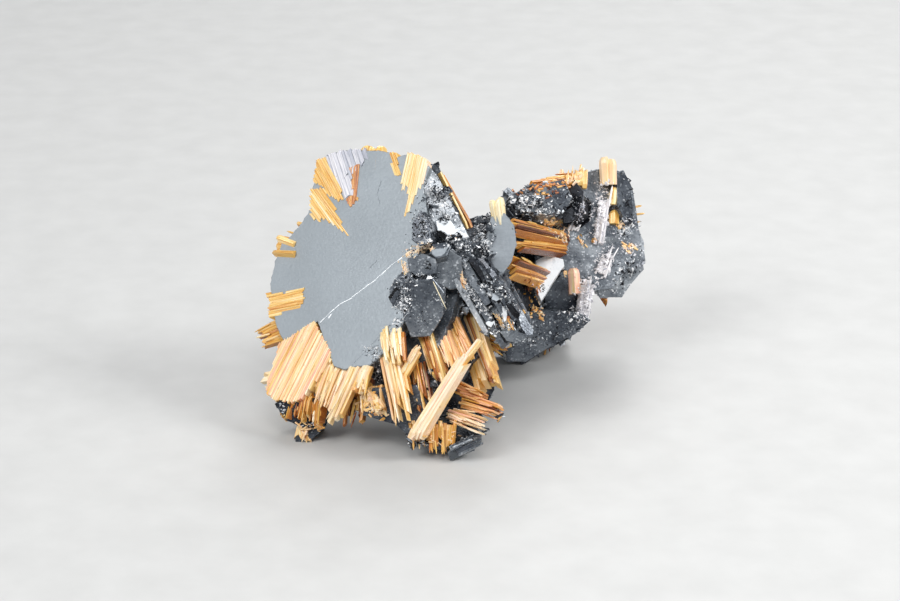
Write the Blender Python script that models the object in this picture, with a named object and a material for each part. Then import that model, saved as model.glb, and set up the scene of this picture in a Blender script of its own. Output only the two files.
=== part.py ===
"""A crystal cluster: golden rutile laths grown on and between plates of hematite.

The whole specimen grew as one piece, so every crystal here is joined in one solid. It rests on
three groups of crystal tips, which lie in the plane z = 0.

Places are given in millimetres as someone looking at the specimen sees them, from in front and a
little above: x to the right and y up on the plane through its middle, and near, the distance by
which a point comes towards the eye. Sizes are in millimetres too. MM turns them into metres.
"""

import math
import random

import bmesh
import bpy
from mathutils import Vector

MM = 0.001
NODE_NAME = "crystal_cluster"
SEED = 16

# The eye that the places are given for, and where the middle of its view is in the row's frame.
LOOK_DOWN = math.radians(21.5)
EYE_DISTANCE = 187.5
VIEW_MIDDLE = Vector((-0.31, -7.65, 10.2))
RIGHT = Vector((1.0, 0.0, 0.0))
UP = Vector((0.0, math.sin(LOOK_DOWN), math.cos(LOOK_DOWN)))
NEAR = Vector((0.0, -math.cos(LOOK_DOWN), math.sin(LOOK_DOWN)))
EYE = VIEW_MIDDLE + NEAR * EYE_DISTANCE


def aim(right, up, near):
    """The unit direction with these shares of right, up and towards the eye."""
    return (RIGHT * right + UP * up + NEAR * near).normalized()


def seen(x, y, near):
    """The point seen at x, y that is this much nearer to the eye than the middle."""
    shrink = (EYE_DISTANCE - near) / EYE_DISTANCE
    return VIEW_MIDDLE + (RIGHT * x + UP * y) * shrink + NEAR * near


# The plates of the front stack all lie this way, and the rutile grew along three axes in them,
# 60 degrees apart.
STACK_NORMAL = aim(-0.449, 0.249, 0.858)
STACK_ANCHOR = seen(-2.9, 3.6, 0.0)


def on_plane(x, y, anchor, normal):
    """The point seen at x, y that lies on the plane through anchor."""
    ray = seen(x, y, 0.0) - EYE
    return EYE + ray * ((anchor - EYE).dot(normal) / ray.dot(normal))


def on_stack(x, y, depth):
    """The point seen at x, y on the plane that lies depth behind the front plate's face."""
    return on_plane(x, y, STACK_ANCHOR - STACK_NORMAL * depth, STACK_NORMAL)


# Outlines of the plates, as seen, clockwise from the upper left.
FRONT_OUTLINE = [
    (-8.8, 10.5), (-7.5, 10.8), (-4.9, 10.8), (-3.7, 10.4), (-2.8, 10.5), (-1.4, 9.7),
    (-1.8, 8.2), (-1.6, 6.2), (-1.9, 4.0), (-2.8, 1.9), (-3.3, -1.6), (-4.6, -3.7),
    (-5.7, -4.7), (-7.5, -5.0), (-8.3, -4.8), (-8.9, -3.2), (-9.5, -1.6), (-10.7, -2.2),
    (-11.9, -3.0), (-12.5, -1.8), (-12.8, -0.3), (-12.9, 1.2), (-12.6, 2.8), (-12.1, 4.1),
    (-11.3, 4.8), (-10.7, 5.6), (-9.9, 6.8), (-9.9, 8.0), (-9.5, 9.3),
]  # fmt: skip
SECOND_OUTLINE = [
    (-8.0, 10.2), (-5.0, 10.5), (-2.6, 10.2), (-1.2, 9.8), (1.2, 4.3), (1.0, 1.4),
    (-0.4, -2.6), (-2.0, -5.8), (-5.2, -6.4), (-8.4, -4.6), (-10.6, -1.8), (-11.5, 2.0),
    (-10.6, 5.4), (-9.3, 8.4),
]  # fmt: skip
THIRD_OUTLINE = [
    (-6.5, 9.0), (-3.5, 9.3), (-1.0, 8.0), (1.8, 4.0), (3.0, 0.5), (2.4, -3.4),
    (0.2, -6.4), (-3.2, -6.9), (-6.4, -5.2), (-8.4, -2.0), (-9.0, 2.0), (-8.3, 6.0),
]  # fmt: skip
# A plate is widest at its belly, this share of its thickness behind its face.
BELLY = 0.3
BELLY_SIZE = 1.02
STACK = [
    # outline, depth of its face behind the front one, thickness, size of its back
    (FRONT_OUTLINE, 0.0, 2.3, 0.94),
    (SECOND_OUTLINE, 2.2, 2.0, 0.97),
    (THIRD_OUTLINE, 4.6, 2.2, 0.9),
]

# Single crystals of hematite: outline as seen, nearness of its first corner, direction that its
# face looks in, thickness behind the face and size of its back.
BLOCKS = {
    "side_bevel": (
        [(-1.5, 9.7), (-0.8, 8.8), (1.4, 4.5), (0.6, 4.3), (-0.2, 4.2), (-1.3, 5.4), (-1.9, 7.9)],
        -1.6, aim(0.30, 0.30, 0.90), 3.0, 0.9),
    "eye_crystal": (
        [(-2.1, 6.5), (-1.5, 5.6), (-1.3, 4.2), (-2.1, 3.8), (-2.8, 4.3), (-2.7, 5.6)],
        1.0, aim(-0.3, 0.1, 0.95), 2.0, 1.1),
    "round_facet": (
        [(-1.3, 4.1), (-0.3, 4.2), (0.1, 3.9), (-0.2, 3.2), (-1.0, 3.0), (-1.5, 3.4)],
        1.2, aim(-0.1, 0.55, 0.83), 2.5, 1.1),
    "grey_facet": (
        [(-1.2, 3.2), (-0.1, 3.7), (0.9, 3.1), (1.0, 2.0), (0.9, 0.8), (0.0, 0.7), (-1.2, 1.4)],
        1.3, aim(0.1, -0.15, 0.98), 4.0, 1.15),
    "dark_facet": (
        [(-3.1, 3.0), (-2.0, 3.4), (-1.0, 3.0), (-1.0, 1.9), (-2.4, 1.7), (-3.0, 2.2)],
        1.1, aim(-0.35, -0.05, 0.93), 2.6, 1.1),
    "broken_corner": (
        [(-4.4, 0.8), (-3.7, 1.9), (-2.8, 2.1), (-2.3, 1.0), (-2.6, -0.4), (-3.4, -0.9),
         (-4.3, -0.1)],
        0.9, aim(-0.15, 0.1, 0.97), 2.4, 1.1),
    "blue_facet": (
        [(-3.2, 1.4), (-1.2, 1.6), (-0.4, 0.6), (-0.5, -1.2), (-1.4, -2.6), (-2.8, -2.7), (-3.4, -1.2)],
        1.7, aim(-0.1, -0.2, 0.97), 4.4, 1.05),
    "grey_tablet": (
        [(2.9, 6.0), (3.9, 6.3), (4.6, 5.4), (4.8, 4.0), (4.4, 2.7), (3.7, 1.8), (3.0, 2.5),
         (2.5, 4.2)],
        -2.6, aim(0.05, 0.1, 0.99), 2.6, 1.0),
    "low_tablet": (
        [(-0.2, -10.9), (0.5, -10.1), (1.0, -9.7), (2.3, -9.6), (2.3, -10.1), (1.6, -10.8),
         (0.0, -11.5)],
        1.5, aim(0.35, -0.25, 0.9), 2.6, 0.95),
    "under_plate": (
        [(-6.3, -8.2), (-3.9, -8.9), (-3.1, -9.6), (-2.4, -9.3), (-1.4, -7.6), (-2.4, -6.0),
         (-5.6, -6.2)],
        0.6, aim(-0.2, -0.1, 0.97), 3.4, 1.0),
    "brown_corner": (
        [(-12.6, -7.4), (-11.5, -6.8), (-9.2, -7.0), (-8.4, -7.6), (-9.3, -8.6),
         (-10.4, -9.2), (-11.7, -8.6)],
        -1.8, aim(-0.2, -0.1, 0.97), 3.0, 1.1),
    "left_foot": (
        [(-10.9, -8.7), (-9.6, -8.2), (-8.9, -8.4), (-9.2, -9.3), (-9.9, -10.0), (-11.1, -10.2)],
        -1.9, aim(-0.1, 0.0, 0.99), 2.2, 1.0),
    "low_middle": (
        [(-3.4, -8.6), (-1.8, -8.9), (0.2, -8.6), (1.8, -8.9), (2.2, -9.6), (0.4, -10.9),
         (-1.4, -10.6), (-3.0, -9.9)],
        0.9, aim(0.0, -0.2, 0.98), 4.6, 1.0),
    "right_shoulder": (
        [(-0.6, -2.2), (1.2, -1.8), (3.0, -3.6), (3.2, -6.4), (2.2, -8.3), (0.2, -8.4),
         (-1.0, -5.4)],
        -2.9, aim(0.1, -0.1, 0.99), 5.0, 1.05),
    "neck": (
        [(1.2, 4.0), (3.2, 6.0), (5.6, 6.6), (7.6, 5.2), (7.6, 1.4), (5.8, -1.6), (3.2, -2.4),
         (1.0, 0.2)],
        -3.4, aim(0.86, 0.12, 0.5), 6.4, 1.0),
    "rear_bridge": (
        [(4.2, 7.4), (5.6, 8.3), (8.2, 8.7), (8.8, 7.4), (8.2, 6.3), (6.6, 6.2), (4.9, 6.5)],
        -7.4, aim(0.35, 0.55, 0.75), 5.0, 0.9),
    "rear_plate": (
        [(7.9, 8.9), (9.6, 9.2), (11.3, 9.6), (12.4, 9.2), (13.1, 7.9), (13.4, 6.0), (13.7, 4.2),
         (13.0, 2.6), (11.6, 0.8), (9.6, 0.6), (7.8, 1.8), (6.9, 4.2), (7.2, 6.8)],
        -13.0, aim(0.22, 0.2, 0.95), 2.6, 0.95),
    "rear_second": (
        [(8.4, 8.0), (11.0, 8.8), (12.6, 8.0), (13.4, 5.0), (12.8, 2.2), (10.6, 0.6),
         (7.6, 0.9), (6.6, 4.2)],
        -15.4, aim(0.22, 0.2, 0.95), 2.6, 0.8),
    "rear_dark": (
        [(7.5, 8.3), (8.9, 8.7), (9.6, 7.8), (9.5, 6.5), (8.5, 5.7), (7.6, 6.3)],
        -12.4, aim(-0.35, 0.4, 0.85), 2.0, 1.0),
    "rear_right_facet": (
        [(11.9, 9.2), (12.4, 9.4), (13.1, 8.0), (13.4, 6.0), (12.7, 5.4), (12.0, 6.6)],
        -13.3, aim(0.7, 0.2, 0.7), 2.2, 1.0),
    "rear_lump": (
        [(12.2, 5.0), (13.4, 5.5), (13.9, 4.2), (14.0, 2.6), (13.0, 2.0), (12.1, 3.2)],
        -13.0, aim(0.45, 0.05, 0.9), 2.4, 1.0),
    "lower_lobe": (
        [(10.6, 4.4), (12.2, 4.8), (13.7, 3.6), (13.9, 2.2), (12.9, 1.0), (12.3, 0.2),
         (10.7, 0.1), (9.9, 2.0)],
        -12.4, aim(0.3, -0.25, 0.92), 3.2, 0.95),
    "white_blade": (
        [(6.1, 2.9), (7.0, 3.3), (8.1, 3.0), (8.2, 2.5), (7.3, 1.2), (6.5, -0.1), (6.1, 0.8)],
        -10.6, aim(0.1, 0.42, 0.9), 0.7, 1.0),
    "blue_block": (
        [(6.7, 0.9), (7.9, 1.8), (9.8, 1.2), (10.2, 0.0), (9.7, -1.2), (8.0, -1.6), (6.7, -0.8)],
        -11.4, aim(0.1, -0.3, 0.95), 4.6, 1.05),
    "rear_low": (
        [(3.8, -2.0), (6.0, -0.6), (9.4, -0.9), (10.1, -1.4), (9.0, -2.4), (7.2, -3.3),
         (5.4, -4.4), (4.0, -4.4)],
        -10.0, aim(0.1, -0.1, 0.99), 6.6, 1.05),
    "rear_foot": (
        [(4.2, -2.6), (6.6, -1.9), (9.0, -2.0), (8.6, -2.7), (6.8, -3.6), (5.4, -4.5), (4.3, -4.3)],
        -15.0, aim(0.0, 0.0, 1.0), 5.0, 0.9),
}  # fmt: skip

# The long dark crystal is a pile of thin plates seen on edge.
DARK_PILE_TOP = (0.9, 3.0, 1.2)
DARK_PILE_END = (4.5, -3.5, 1.5)
DARK_PILE_NORMAL = aim(0.78, 0.55, 0.25)
DARK_PILE_DEPTH = 3.6
DARK_LEAF = 0.6
DARK_LEAF_OVERLAP = 1.1
DARK_LEAF_STEP = 0.15
DARK_LEAF_CHISEL = 0.12
# Where along the pile each plate starts and ends, as shares of its length.
DARK_LEAVES = [(0.06, 0.80), (0.02, 1.0), (0.0, 0.92), (0.08, 1.04), (0.3, 1.0)]

# Rutile on the front stack. Each sheaf: its two root ends and its two tip ends as seen, the depth
# of its middle behind the front face, how many laths and how thick they are.
STACK_SHEAVES = {
    "wedge_left": ((-12.0, -3.2), (-9.6, -1.5), (-13.0, -6.1), (-12.1, -7.1), 0.5, 5, 1.0),
    "wedge_right": ((-9.7, -1.5), (-8.5, -4.2), (-12.1, -7.1), (-10.4, -7.0), 0.5, 5, 1.0),
    "wedge_low": ((-8.7, -4.0), (-7.9, -5.0), (-10.1, -7.6), (-8.8, -7.8), 0.6, 3, 1.0),
    "brown_mass": ((-11.5, -6.8), (-8.9, -7.2), (-12.2, -8.6), (-9.0, -9.2), 0.8, 6, 1.1),
    "left_outcrop": ((-12.0, -5.0), (-11.9, -6.8), (-13.9, -5.4), (-13.2, -6.8), 1.2, 3, 0.9),
    "bottom_left": ((-8.0, -4.9), (-6.9, -4.7), (-9.2, -7.8), (-8.4, -8.8), 0.5, 4, 0.8),
    "bottom_long": ((-6.9, -4.7), (-6.0, -4.6), (-8.6, -8.9), (-8.0, -8.9), 0.4, 3, 0.8),
    "bottom_short": ((-6.1, -4.9), (-5.5, -4.8), (-6.8, -6.8), (-6.1, -6.8), 0.3, 2, 0.8),
    "behind_bottom": ((-7.6, -5.4), (-5.4, -5.6), (-7.8, -9.2), (-6.2, -9.4), 2.0, 3, 0.9),
    "knot": ((-6.3, -6.4), (-4.8, -6.2), (-6.1, -8.2), (-4.7, -8.3), 1.0, 4, 1.0),
    "long_middle": ((-4.9, -4.0), (-3.7, -3.9), (-3.8, -9.5), (-2.6, -8.8), 0.6, 5, 0.9),
    "above_middle": ((-4.8, -2.4), (-3.3, -2.4), (-4.3, -4.8), (-3.1, -4.9), 0.2, 3, 0.9),
    "yellow_stick": ((-3.6, -4.4), (-3.3, -4.3), (-3.0, -7.1), (-2.7, -7.0), 0.9, 1, 0.6),
    "middle_right": ((-2.7, -4.6), (-1.8, -4.5), (-2.1, -8.2), (-1.1, -8.0), 2.0, 4, 0.9),
    "centre_left": ((-2.4, -2.0), (-1.5, -1.9), (-0.9, -6.4), (-0.2, -6.2), 2.0, 4, 0.8),
    "centre": ((-1.5, -1.6), (-0.4, -1.4), (-0.1, -5.4), (0.9, -5.2), 2.6, 4, 0.8),
    "centre_right": ((-0.4, -1.2), (0.5, -1.2), (1.2, -4.6), (2.0, -4.4), 3.2, 4, 0.8),
    "right_sheet": ((0.8, -1.8), (2.2, -1.8), (2.2, -7.0), (3.8, -6.6), 5.4, 6, 1.1),
    "right_long": ((1.2, -1.2), (2.1, -1.3), (2.9, -5.2), (3.7, -6.2), 5.0, 3, 1.0),
    "low_right_upper": ((0.6, -5.8), (0.6, -6.6), (2.9, -6.8), (2.8, -7.6), 4.6, 3, 1.2),
    "low_right_middle": ((1.0, -6.6), (0.8, -7.6), (3.7, -7.5), (3.6, -8.4), 4.2, 4, 1.2),
    "low_right_white": ((0.2, -7.8), (0.0, -8.6), (2.9, -8.6), (2.4, -9.5), 3.6, 4, 1.2),
    "top_left": ((-8.4, 6.6), (-7.6, 4.6), (-9.7, 9.9), (-8.5, 10.4), 0.1, 5, 0.8),
    "top_left_low": ((-9.2, 5.9), (-7.8, 4.6), (-9.9, 8.0), (-8.9, 8.6), 0.12, 4, 0.8),
    "top_silver": ((-7.6, 7.4), (-6.9, 7.4), (-8.4, 10.8), (-6.5, 10.9), 0.14, 5, 0.8),
    "top_nubs": ((-6.3, 9.6), (-4.7, 9.6), (-6.2, 11.1), (-4.6, 11.1), 0.7, 3, 1.0),
    "top_strip": ((-3.7, 8.9), (-3.4, 8.9), (-4.4, 10.5), (-3.9, 10.6), 0.1, 1, 0.8),
    "top_right": ((-3.4, 6.0), (-2.0, 7.2), (-2.6, 10.5), (-1.4, 9.8), 0.12, 5, 0.8),
    "left_nubs": ((-11.2, 4.2), (-11.2, 3.0), (-12.3, 4.7), (-12.9, 3.0), 0.5, 3, 1.2),
    "left_patch": ((-10.5, 1.0), (-11.0, -0.6), (-13.2, 1.3), (-12.9, -0.8), 0.2, 5, 1.0),
    "left_low": ((-12.2, -1.4), (-12.0, -3.0), (-13.9, -2.3), (-13.6, -3.4), 1.6, 3, 0.8),
    "layer_left": ((-10.0, 5.2), (-10.6, 1.0), (-11.3, 5.8), (-12.5, 1.2), 3.0, 3, 0.9),
    "layer_top": ((-8.6, 8.4), (-2.8, 9.0), (-8.4, 10.6), (-2.4, 10.5), 3.4, 3, 0.8),
    "layer_low": ((-9.6, -3.6), (-3.6, -6.0), (-11.4, -6.4), (-4.6, -8.6), 3.6, 3, 0.9),
}
# The star of rutile on the back of the stack: six arms from the middle of the back plate, each with
# this many laths, half as wide as this at its root and at its tip.
STAR_MIDDLE = (-3.4, 1.4)
STAR_DEPTH = 6.9
STAR_RADIUS = 6.4
STAR_LATHS = 3
STAR_ROOT = 1.1
STAR_TIP = 1.8
STAR_THICK = 0.9
# The arms on this side are shorter, and all are turned a little from level.
SHORT_ARMS = (4, 5)
SHORT_ARM = 0.75
AXIS_TURN = 3.0

# Rutile elsewhere. Each sheaf: two root ends and two tip ends with their nearness, the direction
# that the laths' flat sides look in, how many laths and how thick they are.
FREE_SHEAVES = {
    "big_prism": ((-2.7, -9.5, 1.9), (-1.7, -9.4, 2.0), (1.2, -3.5, 2.6), (1.7, -3.7, 2.7),
                  aim(-0.3, 0.25, 0.9), 3, 0.9),
    "big_prism_tip": ((-1.3, -7.2, 2.2), (-1.1, -7.4, 2.2), (2.6, -2.1, 2.8), (2.75, -2.3, 2.8),
                      aim(-0.3, 0.25, 0.9), 1, 0.7),
    "crossing_stick": ((-3.4, -5.2, 1.4), (-3.0, -5.2, 1.4), (-2.2, -2.8, 1.9), (-1.7, -2.9, 1.9),
                       aim(-0.2, 0.2, 0.95), 2, 0.7),
    "side_needles": ((0.9, 5.4, -2.6), (1.5, 5.6, -2.8), (-1.0, 9.5, -3.2), (-0.6, 9.1, -3.4),
                     aim(0.5, 0.3, 0.8), 2, 0.5),
    "grey_tablet_nub": ((3.1, 5.8, -3.2), (3.9, 6.0, -3.2), (2.8, 7.2, -3.0), (3.8, 7.5, -3.0),
                        aim(0.0, 0.3, 0.95), 3, 1.0),
    "bridge_upper": ((8.0, 4.8, -11.8), (8.2, 3.9, -12.0), (3.8, 6.0, -4.2), (4.2, 4.9, -4.2),
                     aim(0.2, 0.55, 0.8), 4, 1.0),
    "bridge_middle": ((8.2, 3.9, -12.0), (8.0, 3.2, -12.0), (4.4, 4.3, -4.6), (4.4, 3.7, -4.6),
                      aim(0.2, 0.55, 0.8), 3, 0.8),
    "bridge_lower": ((6.9, 1.9, -10.6), (6.6, 1.1, -10.6), (4.0, 3.1, -4.4), (4.1, 1.8, -4.4),
                     aim(0.2, 0.55, 0.8), 4, 0.9),
    "under_pile": ((2.0, -2.2, -3.0), (1.8, -2.9, -3.0), (4.6, -3.4, -2.6), (4.2, -4.0, -2.6),
                   aim(0.1, 0.3, 0.9), 3, 0.8),
    "rear_top": ((9.2, 9.0, -12.8), (8.6, 7.9, -12.2), (5.5, 8.5, -10.4), (5.0, 7.5, -9.6),
                 aim(0.1, 0.6, 0.8), 5, 0.9),
    "rear_edge": ((7.8, 8.2, -12.0), (9.6, 8.4, -12.8), (8.0, 9.4, -12.4), (9.7, 9.7, -13.2),
                  aim(0.0, 0.4, 0.9), 3, 0.9),
    "rear_crown": ((10.8, 8.7, -13.3), (11.8, 8.7, -13.5), (10.7, 10.2, -13.3), (11.8, 10.2, -13.5),
                   aim(0.1, 0.3, 0.95), 2, 1.1),
    "rear_streak": ((10.3, 4.3, -12.6), (10.9, 4.3, -12.7), (10.9, 8.6, -13.7), (11.5, 8.6, -13.8),
                    aim(0.22, 0.2, 0.95), 2, 0.9),
    "rear_streak_left": ((8.6, 5.3, -12.4), (9.1, 5.1, -12.4), (9.6, 7.1, -13.0), (10.1, 6.9, -13.0),
                         aim(0.22, 0.2, 0.95), 1, 0.9),
    "rear_streak_low": ((10.5, 2.0, -12.1), (11.1, 2.0, -12.2), (11.2, 3.9, -12.7), (11.8, 3.8, -12.8),
                        aim(0.22, 0.2, 0.95), 1, 1.0),
    "rear_nub_upper": ((11.4, 7.2, -13.5), (11.9, 7.2, -13.6), (11.5, 8.1, -13.7), (12.0, 8.1, -13.8),
                       aim(0.22, 0.2, 0.95), 1, 1.1),
    "rear_nub_lower": ((11.4, 5.9, -13.2), (11.9, 5.9, -13.3), (11.4, 6.7, -13.4), (11.9, 6.7, -13.5),
                       aim(0.22, 0.2, 0.95), 1, 1.1),
    "pink_nub": ((8.6, 0.9, -11.4), (9.2, 0.9, -11.5), (8.5, 2.3, -11.6), (9.1, 2.3, -11.7),
                 aim(0.1, 0.0, 1.0), 1, 1.1),
    "white_column": ((9.0, -1.2, -11.7), (9.8, -1.0, -11.9), (9.5, 1.9, -11.2), (10.3, 1.8, -11.4),
                     aim(0.4, 0.0, 0.9), 2, 1.0),
    "rear_right": ((12.0, 3.6, -14.6), (12.2, 6.8, -14.8), (14.0, 3.4, -14.8), (13.9, 7.0, -15.0),
                   aim(0.2, 0.2, 0.95), 3, 0.8),
    "rear_back_low": ((9.0, 3.0, -17.6), (12.0, 4.6, -17.6), (11.4, -0.6, -18.0), (14.0, 1.4, -18.0),
                      aim(0.22, 0.2, 0.95), 3, 0.9),
    "rear_back_up": ((8.6, 4.4, -17.8), (11.4, 5.6, -17.8), (7.4, 8.8, -18.6), (10.6, 9.6, -18.6),
                     aim(0.22, 0.2, 0.95), 3, 0.9),
    "rear_floor": ((5.4, -1.4, -15.0), (7.6, -1.0, -15.4), (4.6, -4.2, -17.0), (7.4, -3.4, -18.2),
                   aim(0.1, 0.2, 0.97), 4, 1.0),
    "low_left_foot": ((-10.6, -8.2, -2.0), (-9.9, -8.2, -2.0), (-11.2, -10.4, -2.0), (-10.4, -10.3, -2.0),
                      aim(0.1, 0.1, 0.99), 2, 0.9),
    "low_middle_feet": ((-2.9, -8.8, 1.2), (0.4, -9.0, 1.2), (-2.6, -10.6, 1.0), (0.2, -11.4, 1.0),
                        aim(0.0, 0.1, 0.99), 4, 0.8),
}  # fmt: skip

# A lath is at least this wide, overlaps its neighbour this much, goes this far into what it grows
# from and narrows to this share at its tip.
LATH_WIDTH = 0.42
LATH_OVERLAP = 1.3
LATH_SINK = 0.5
LATH_TAPER = 0.86

# Broken hematite that glitters: middle of the patch with its nearness, its half sizes across and
# up, how many lumps and how big they are.
LUMP_CORNERS = 7
LUMP_SINK = 0.2
RUBBLE = {
    "beside_bevel": ((-0.6, 7.2, -0.5), 0.6, 1.6, 5, 0.6),
    "crest": ((1.3, 4.2, 0.6), 1.4, 0.6, 6, 0.6),
    "corner": ((-3.3, 0.8, 1.0), 0.7, 1.3, 5, 0.6),
    "between": ((-1.7, 1.8, 1.2), 0.9, 0.3, 4, 0.5),
    "tablet_edge": ((2.6, 4.6, -1.6), 0.5, 1.8, 5, 0.6),
    "pile_side": ((2.4, -0.2, 0.9), 1.6, 1.0, 5, 0.5),
    "plate_foot": ((-5.2, -4.9, 0.4), 0.6, 0.9, 5, 0.5),
    "bridge_top": ((5.4, 7.6, -7.4), 1.8, 0.8, 5, 0.8),
    "low_front": ((-1.2, -10.0, 1.4), 1.6, 0.5, 5, 0.55),
    "dark_knot": ((-1.7, -5.6, 1.0), 0.5, 0.6, 4, 0.7),
    "low_right_tips": ((2.9, -8.8, -0.2), 0.8, 0.6, 4, 0.5),
}

CUTTER_SIDE = 80


def solid_from(points, name):
    """A mesh object with the convex hull of these points."""
    shape = bmesh.new()
    for point in points:
        shape.verts.new(point * MM)
    made = bmesh.ops.convex_hull(shape, input=shape.verts)
    spare = {v for v in made["geom_interior"] if isinstance(v, bmesh.types.BMVert)}
    bmesh.ops.delete(shape, geom=list(spare), context="VERTS")
    bmesh.ops.recalc_face_normals(shape, faces=shape.faces)
    return object_from(shape, name)


def object_from(shape, name):
    """A mesh object with this shape, in no collection yet."""
    mesh = bpy.data.meshes.new(name)
    shape.to_mesh(mesh)
    shape.free()
    made = bpy.data.objects.new(name, mesh)
    return made


def plate(name, outline, anchor, normal, thickness, back_size):
    """A flat crystal: its outline as seen on the face's plane, carried back along its normal."""
    rim = [on_plane(x, y, anchor, normal) for x, y in outline]
    middle = sum(rim, Vector()) / len(rim)
    shape = bmesh.new()
    rings = []
    for share, size in ((0.0, 1.0), (BELLY, BELLY_SIZE), (1.0, back_size)):
        shift = normal * (thickness * share)
        ring = [middle + (point - middle) * size - shift for point in rim]
        rings.append([shape.verts.new(point * MM) for point in ring])
    for upper, lower in zip(rings, rings[1:]):
        for i in range(len(rim)):
            shape.faces.new((upper[i - 1], upper[i], lower[i], lower[i - 1]))
    shape.faces.new(rings[0])
    shape.faces.new(rings[-1])
    bmesh.ops.recalc_face_normals(shape, faces=shape.faces)
    return object_from(shape, name)


def lath(name, root, tip, width, thickness, flat, chisel):
    """One rutile crystal: a flat bar whose tip is cut slanting across its width."""
    along = (tip - root).normalized()
    across = flat.cross(along).normalized()
    out = along.cross(across)
    points = []
    for side in (-1, 1):
        for face in (-1, 1):
            rim = across * (side * width / 2) + out * (face * thickness / 2)
            points.append(root + rim)
            points.append(tip + rim * LATH_TAPER - along * (width * (chisel if side > 0 else 0.1)))
    return solid_from(points, name)


def sheaf(name, root_a, root_b, tip_a, tip_b, flat, count, thickness, dice):
    """Parallel laths side by side, from the line root_a to root_b out to the line tip_a to tip_b."""
    made = []
    spread = ((root_b - root_a).length + (tip_b - tip_a).length) / 2
    width = max(LATH_WIDTH, spread / count * LATH_OVERLAP)
    for i in range(count):
        share = (i + 0.5) / count
        root = root_a.lerp(root_b, share)
        tip = tip_a.lerp(tip_b, share)
        tip = root.lerp(tip, dice.uniform(0.88, 1.04))
        lift = flat * dice.uniform(-0.18, 0.18) * thickness
        sink = (root - tip).normalized() * LATH_SINK
        turned = (flat + (tip_b - tip_a) * dice.uniform(-0.12, 0.12)).normalized()
        wide = width * dice.uniform(0.9, 1.15)
        thick = thickness * dice.uniform(0.85, 1.15)
        chisel = dice.uniform(0.2, 1.0)
        made.append(
            lath(f"{name}_{i}", root + sink + lift, tip + lift, wide, thick, turned, chisel)
        )
    return made


def stack_plates():
    """The plates of the front stack, the one with the large face first."""
    return [
        plate(f"stack_{i}", outline, on_stack(*outline[0], depth), STACK_NORMAL, thickness, back)
        for i, (outline, depth, thickness, back) in enumerate(STACK)
    ]


def blocks():
    """The single hematite crystals."""
    return [
        plate(name, outline, seen(*outline[0], near), facing, thickness, back)
        for name, (outline, near, facing, thickness, back) in BLOCKS.items()
    ]


def dark_pile():
    """The pile of thin plates on edge, each a box along the pile with a slanting end."""
    top = seen(*DARK_PILE_TOP)
    end = seen(*DARK_PILE_END)
    deep = DARK_PILE_NORMAL.cross(end - top).normalized()
    if deep.dot(NEAR) > 0:
        deep = -deep
    made = []
    for i, (start, stop) in enumerate(DARK_LEAVES):
        shift = DARK_PILE_NORMAL * DARK_LEAF * (i - (len(DARK_LEAVES) - 1) / 2)
        inset = deep * (DARK_PILE_DEPTH / 2 + DARK_LEAF_STEP * (i % 2))
        root = top.lerp(end, start) + shift + inset
        tip = top.lerp(end, stop) + shift + inset
        made.append(lath(f"dark_leaf_{i}", root, tip, DARK_PILE_DEPTH,
                         DARK_LEAF * DARK_LEAF_OVERLAP, DARK_PILE_NORMAL, DARK_LEAF_CHISEL))
    return made


def front_rutile(dice):
    """The sheaves that lie in the front stack."""
    made = []
    for name, (root_a, root_b, tip_a, tip_b, depth, count, thickness) in STACK_SHEAVES.items():
        ends = [on_stack(*place, depth) for place in (root_a, root_b, tip_a, tip_b)]
        made += sheaf(name, *ends, STACK_NORMAL, count, thickness, dice)
    return made


def back_star(dice):
    """Six arms of laths flat on the back of the stack, along the three rutile axes."""
    middle = on_stack(*STAR_MIDDLE, STAR_DEPTH)
    up = (UP - STACK_NORMAL * UP.dot(STACK_NORMAL)).normalized()
    right = up.cross(STACK_NORMAL)
    made = []
    for arm in range(6):
        angle = math.radians(60 * arm + AXIS_TURN)
        along = right * math.cos(angle) + up * math.sin(angle)
        across = STACK_NORMAL.cross(along)
        tip = middle + along * STAR_RADIUS * (SHORT_ARM if arm in SHORT_ARMS else 1.0)
        made += sheaf(f"star_{arm}", middle - across * STAR_ROOT, middle + across * STAR_ROOT,
                      tip - across * STAR_TIP, tip + across * STAR_TIP,
                      STACK_NORMAL, STAR_LATHS, STAR_THICK, dice)
    return made


def free_rutile(dice):
    """The sheaves that lie elsewhere."""
    made = []
    for name, (root_a, root_b, tip_a, tip_b, flat, count, thickness) in FREE_SHEAVES.items():
        ends = [seen(*place) for place in (root_a, root_b, tip_a, tip_b)]
        made += sheaf(name, *ends, flat, count, thickness, dice)
    return made


def rubble(dice):
    """Lumps with flat broken faces: hulls of a few points on a ball."""
    made = []
    for name, ((x, y, near), across, up, count, size) in RUBBLE.items():
        for i in range(count):
            middle = seen(x + dice.uniform(-across, across), y + dice.uniform(-up, up), near - LUMP_SINK)
            radius = size * dice.uniform(0.6, 1.1)
            points = [
                middle + Vector([dice.gauss(0, 1) for _ in range(3)]).normalized() * radius
                for _ in range(LUMP_CORNERS)
            ]
            made.append(solid_from(points, f"{name}_{i}"))
    return made


def floor_cutter():
    """A block whose top is the plane that the specimen rests on."""
    side = CUTTER_SIDE * MM
    bpy.ops.mesh.primitive_cube_add(size=1, location=(0, 0, -side / 4))
    cutter = bpy.context.object
    cutter.name = "floor_cutter"
    cutter.scale = (side, side, side / 2)
    bpy.ops.object.transform_apply(location=False, rotation=False, scale=True)
    cutter.hide_render = True
    cutter.display_type = "WIRE"
    return cutter


def signed_volume(faces):
    """The volume inside these faces, below zero where they look inward."""
    total = 0.0
    for face in faces:
        first = face.verts[0].co
        for second, third in zip(face.verts[1:], face.verts[2:]):
            total += first.dot(second.co.cross(third.co)) / 6
    return total


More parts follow.
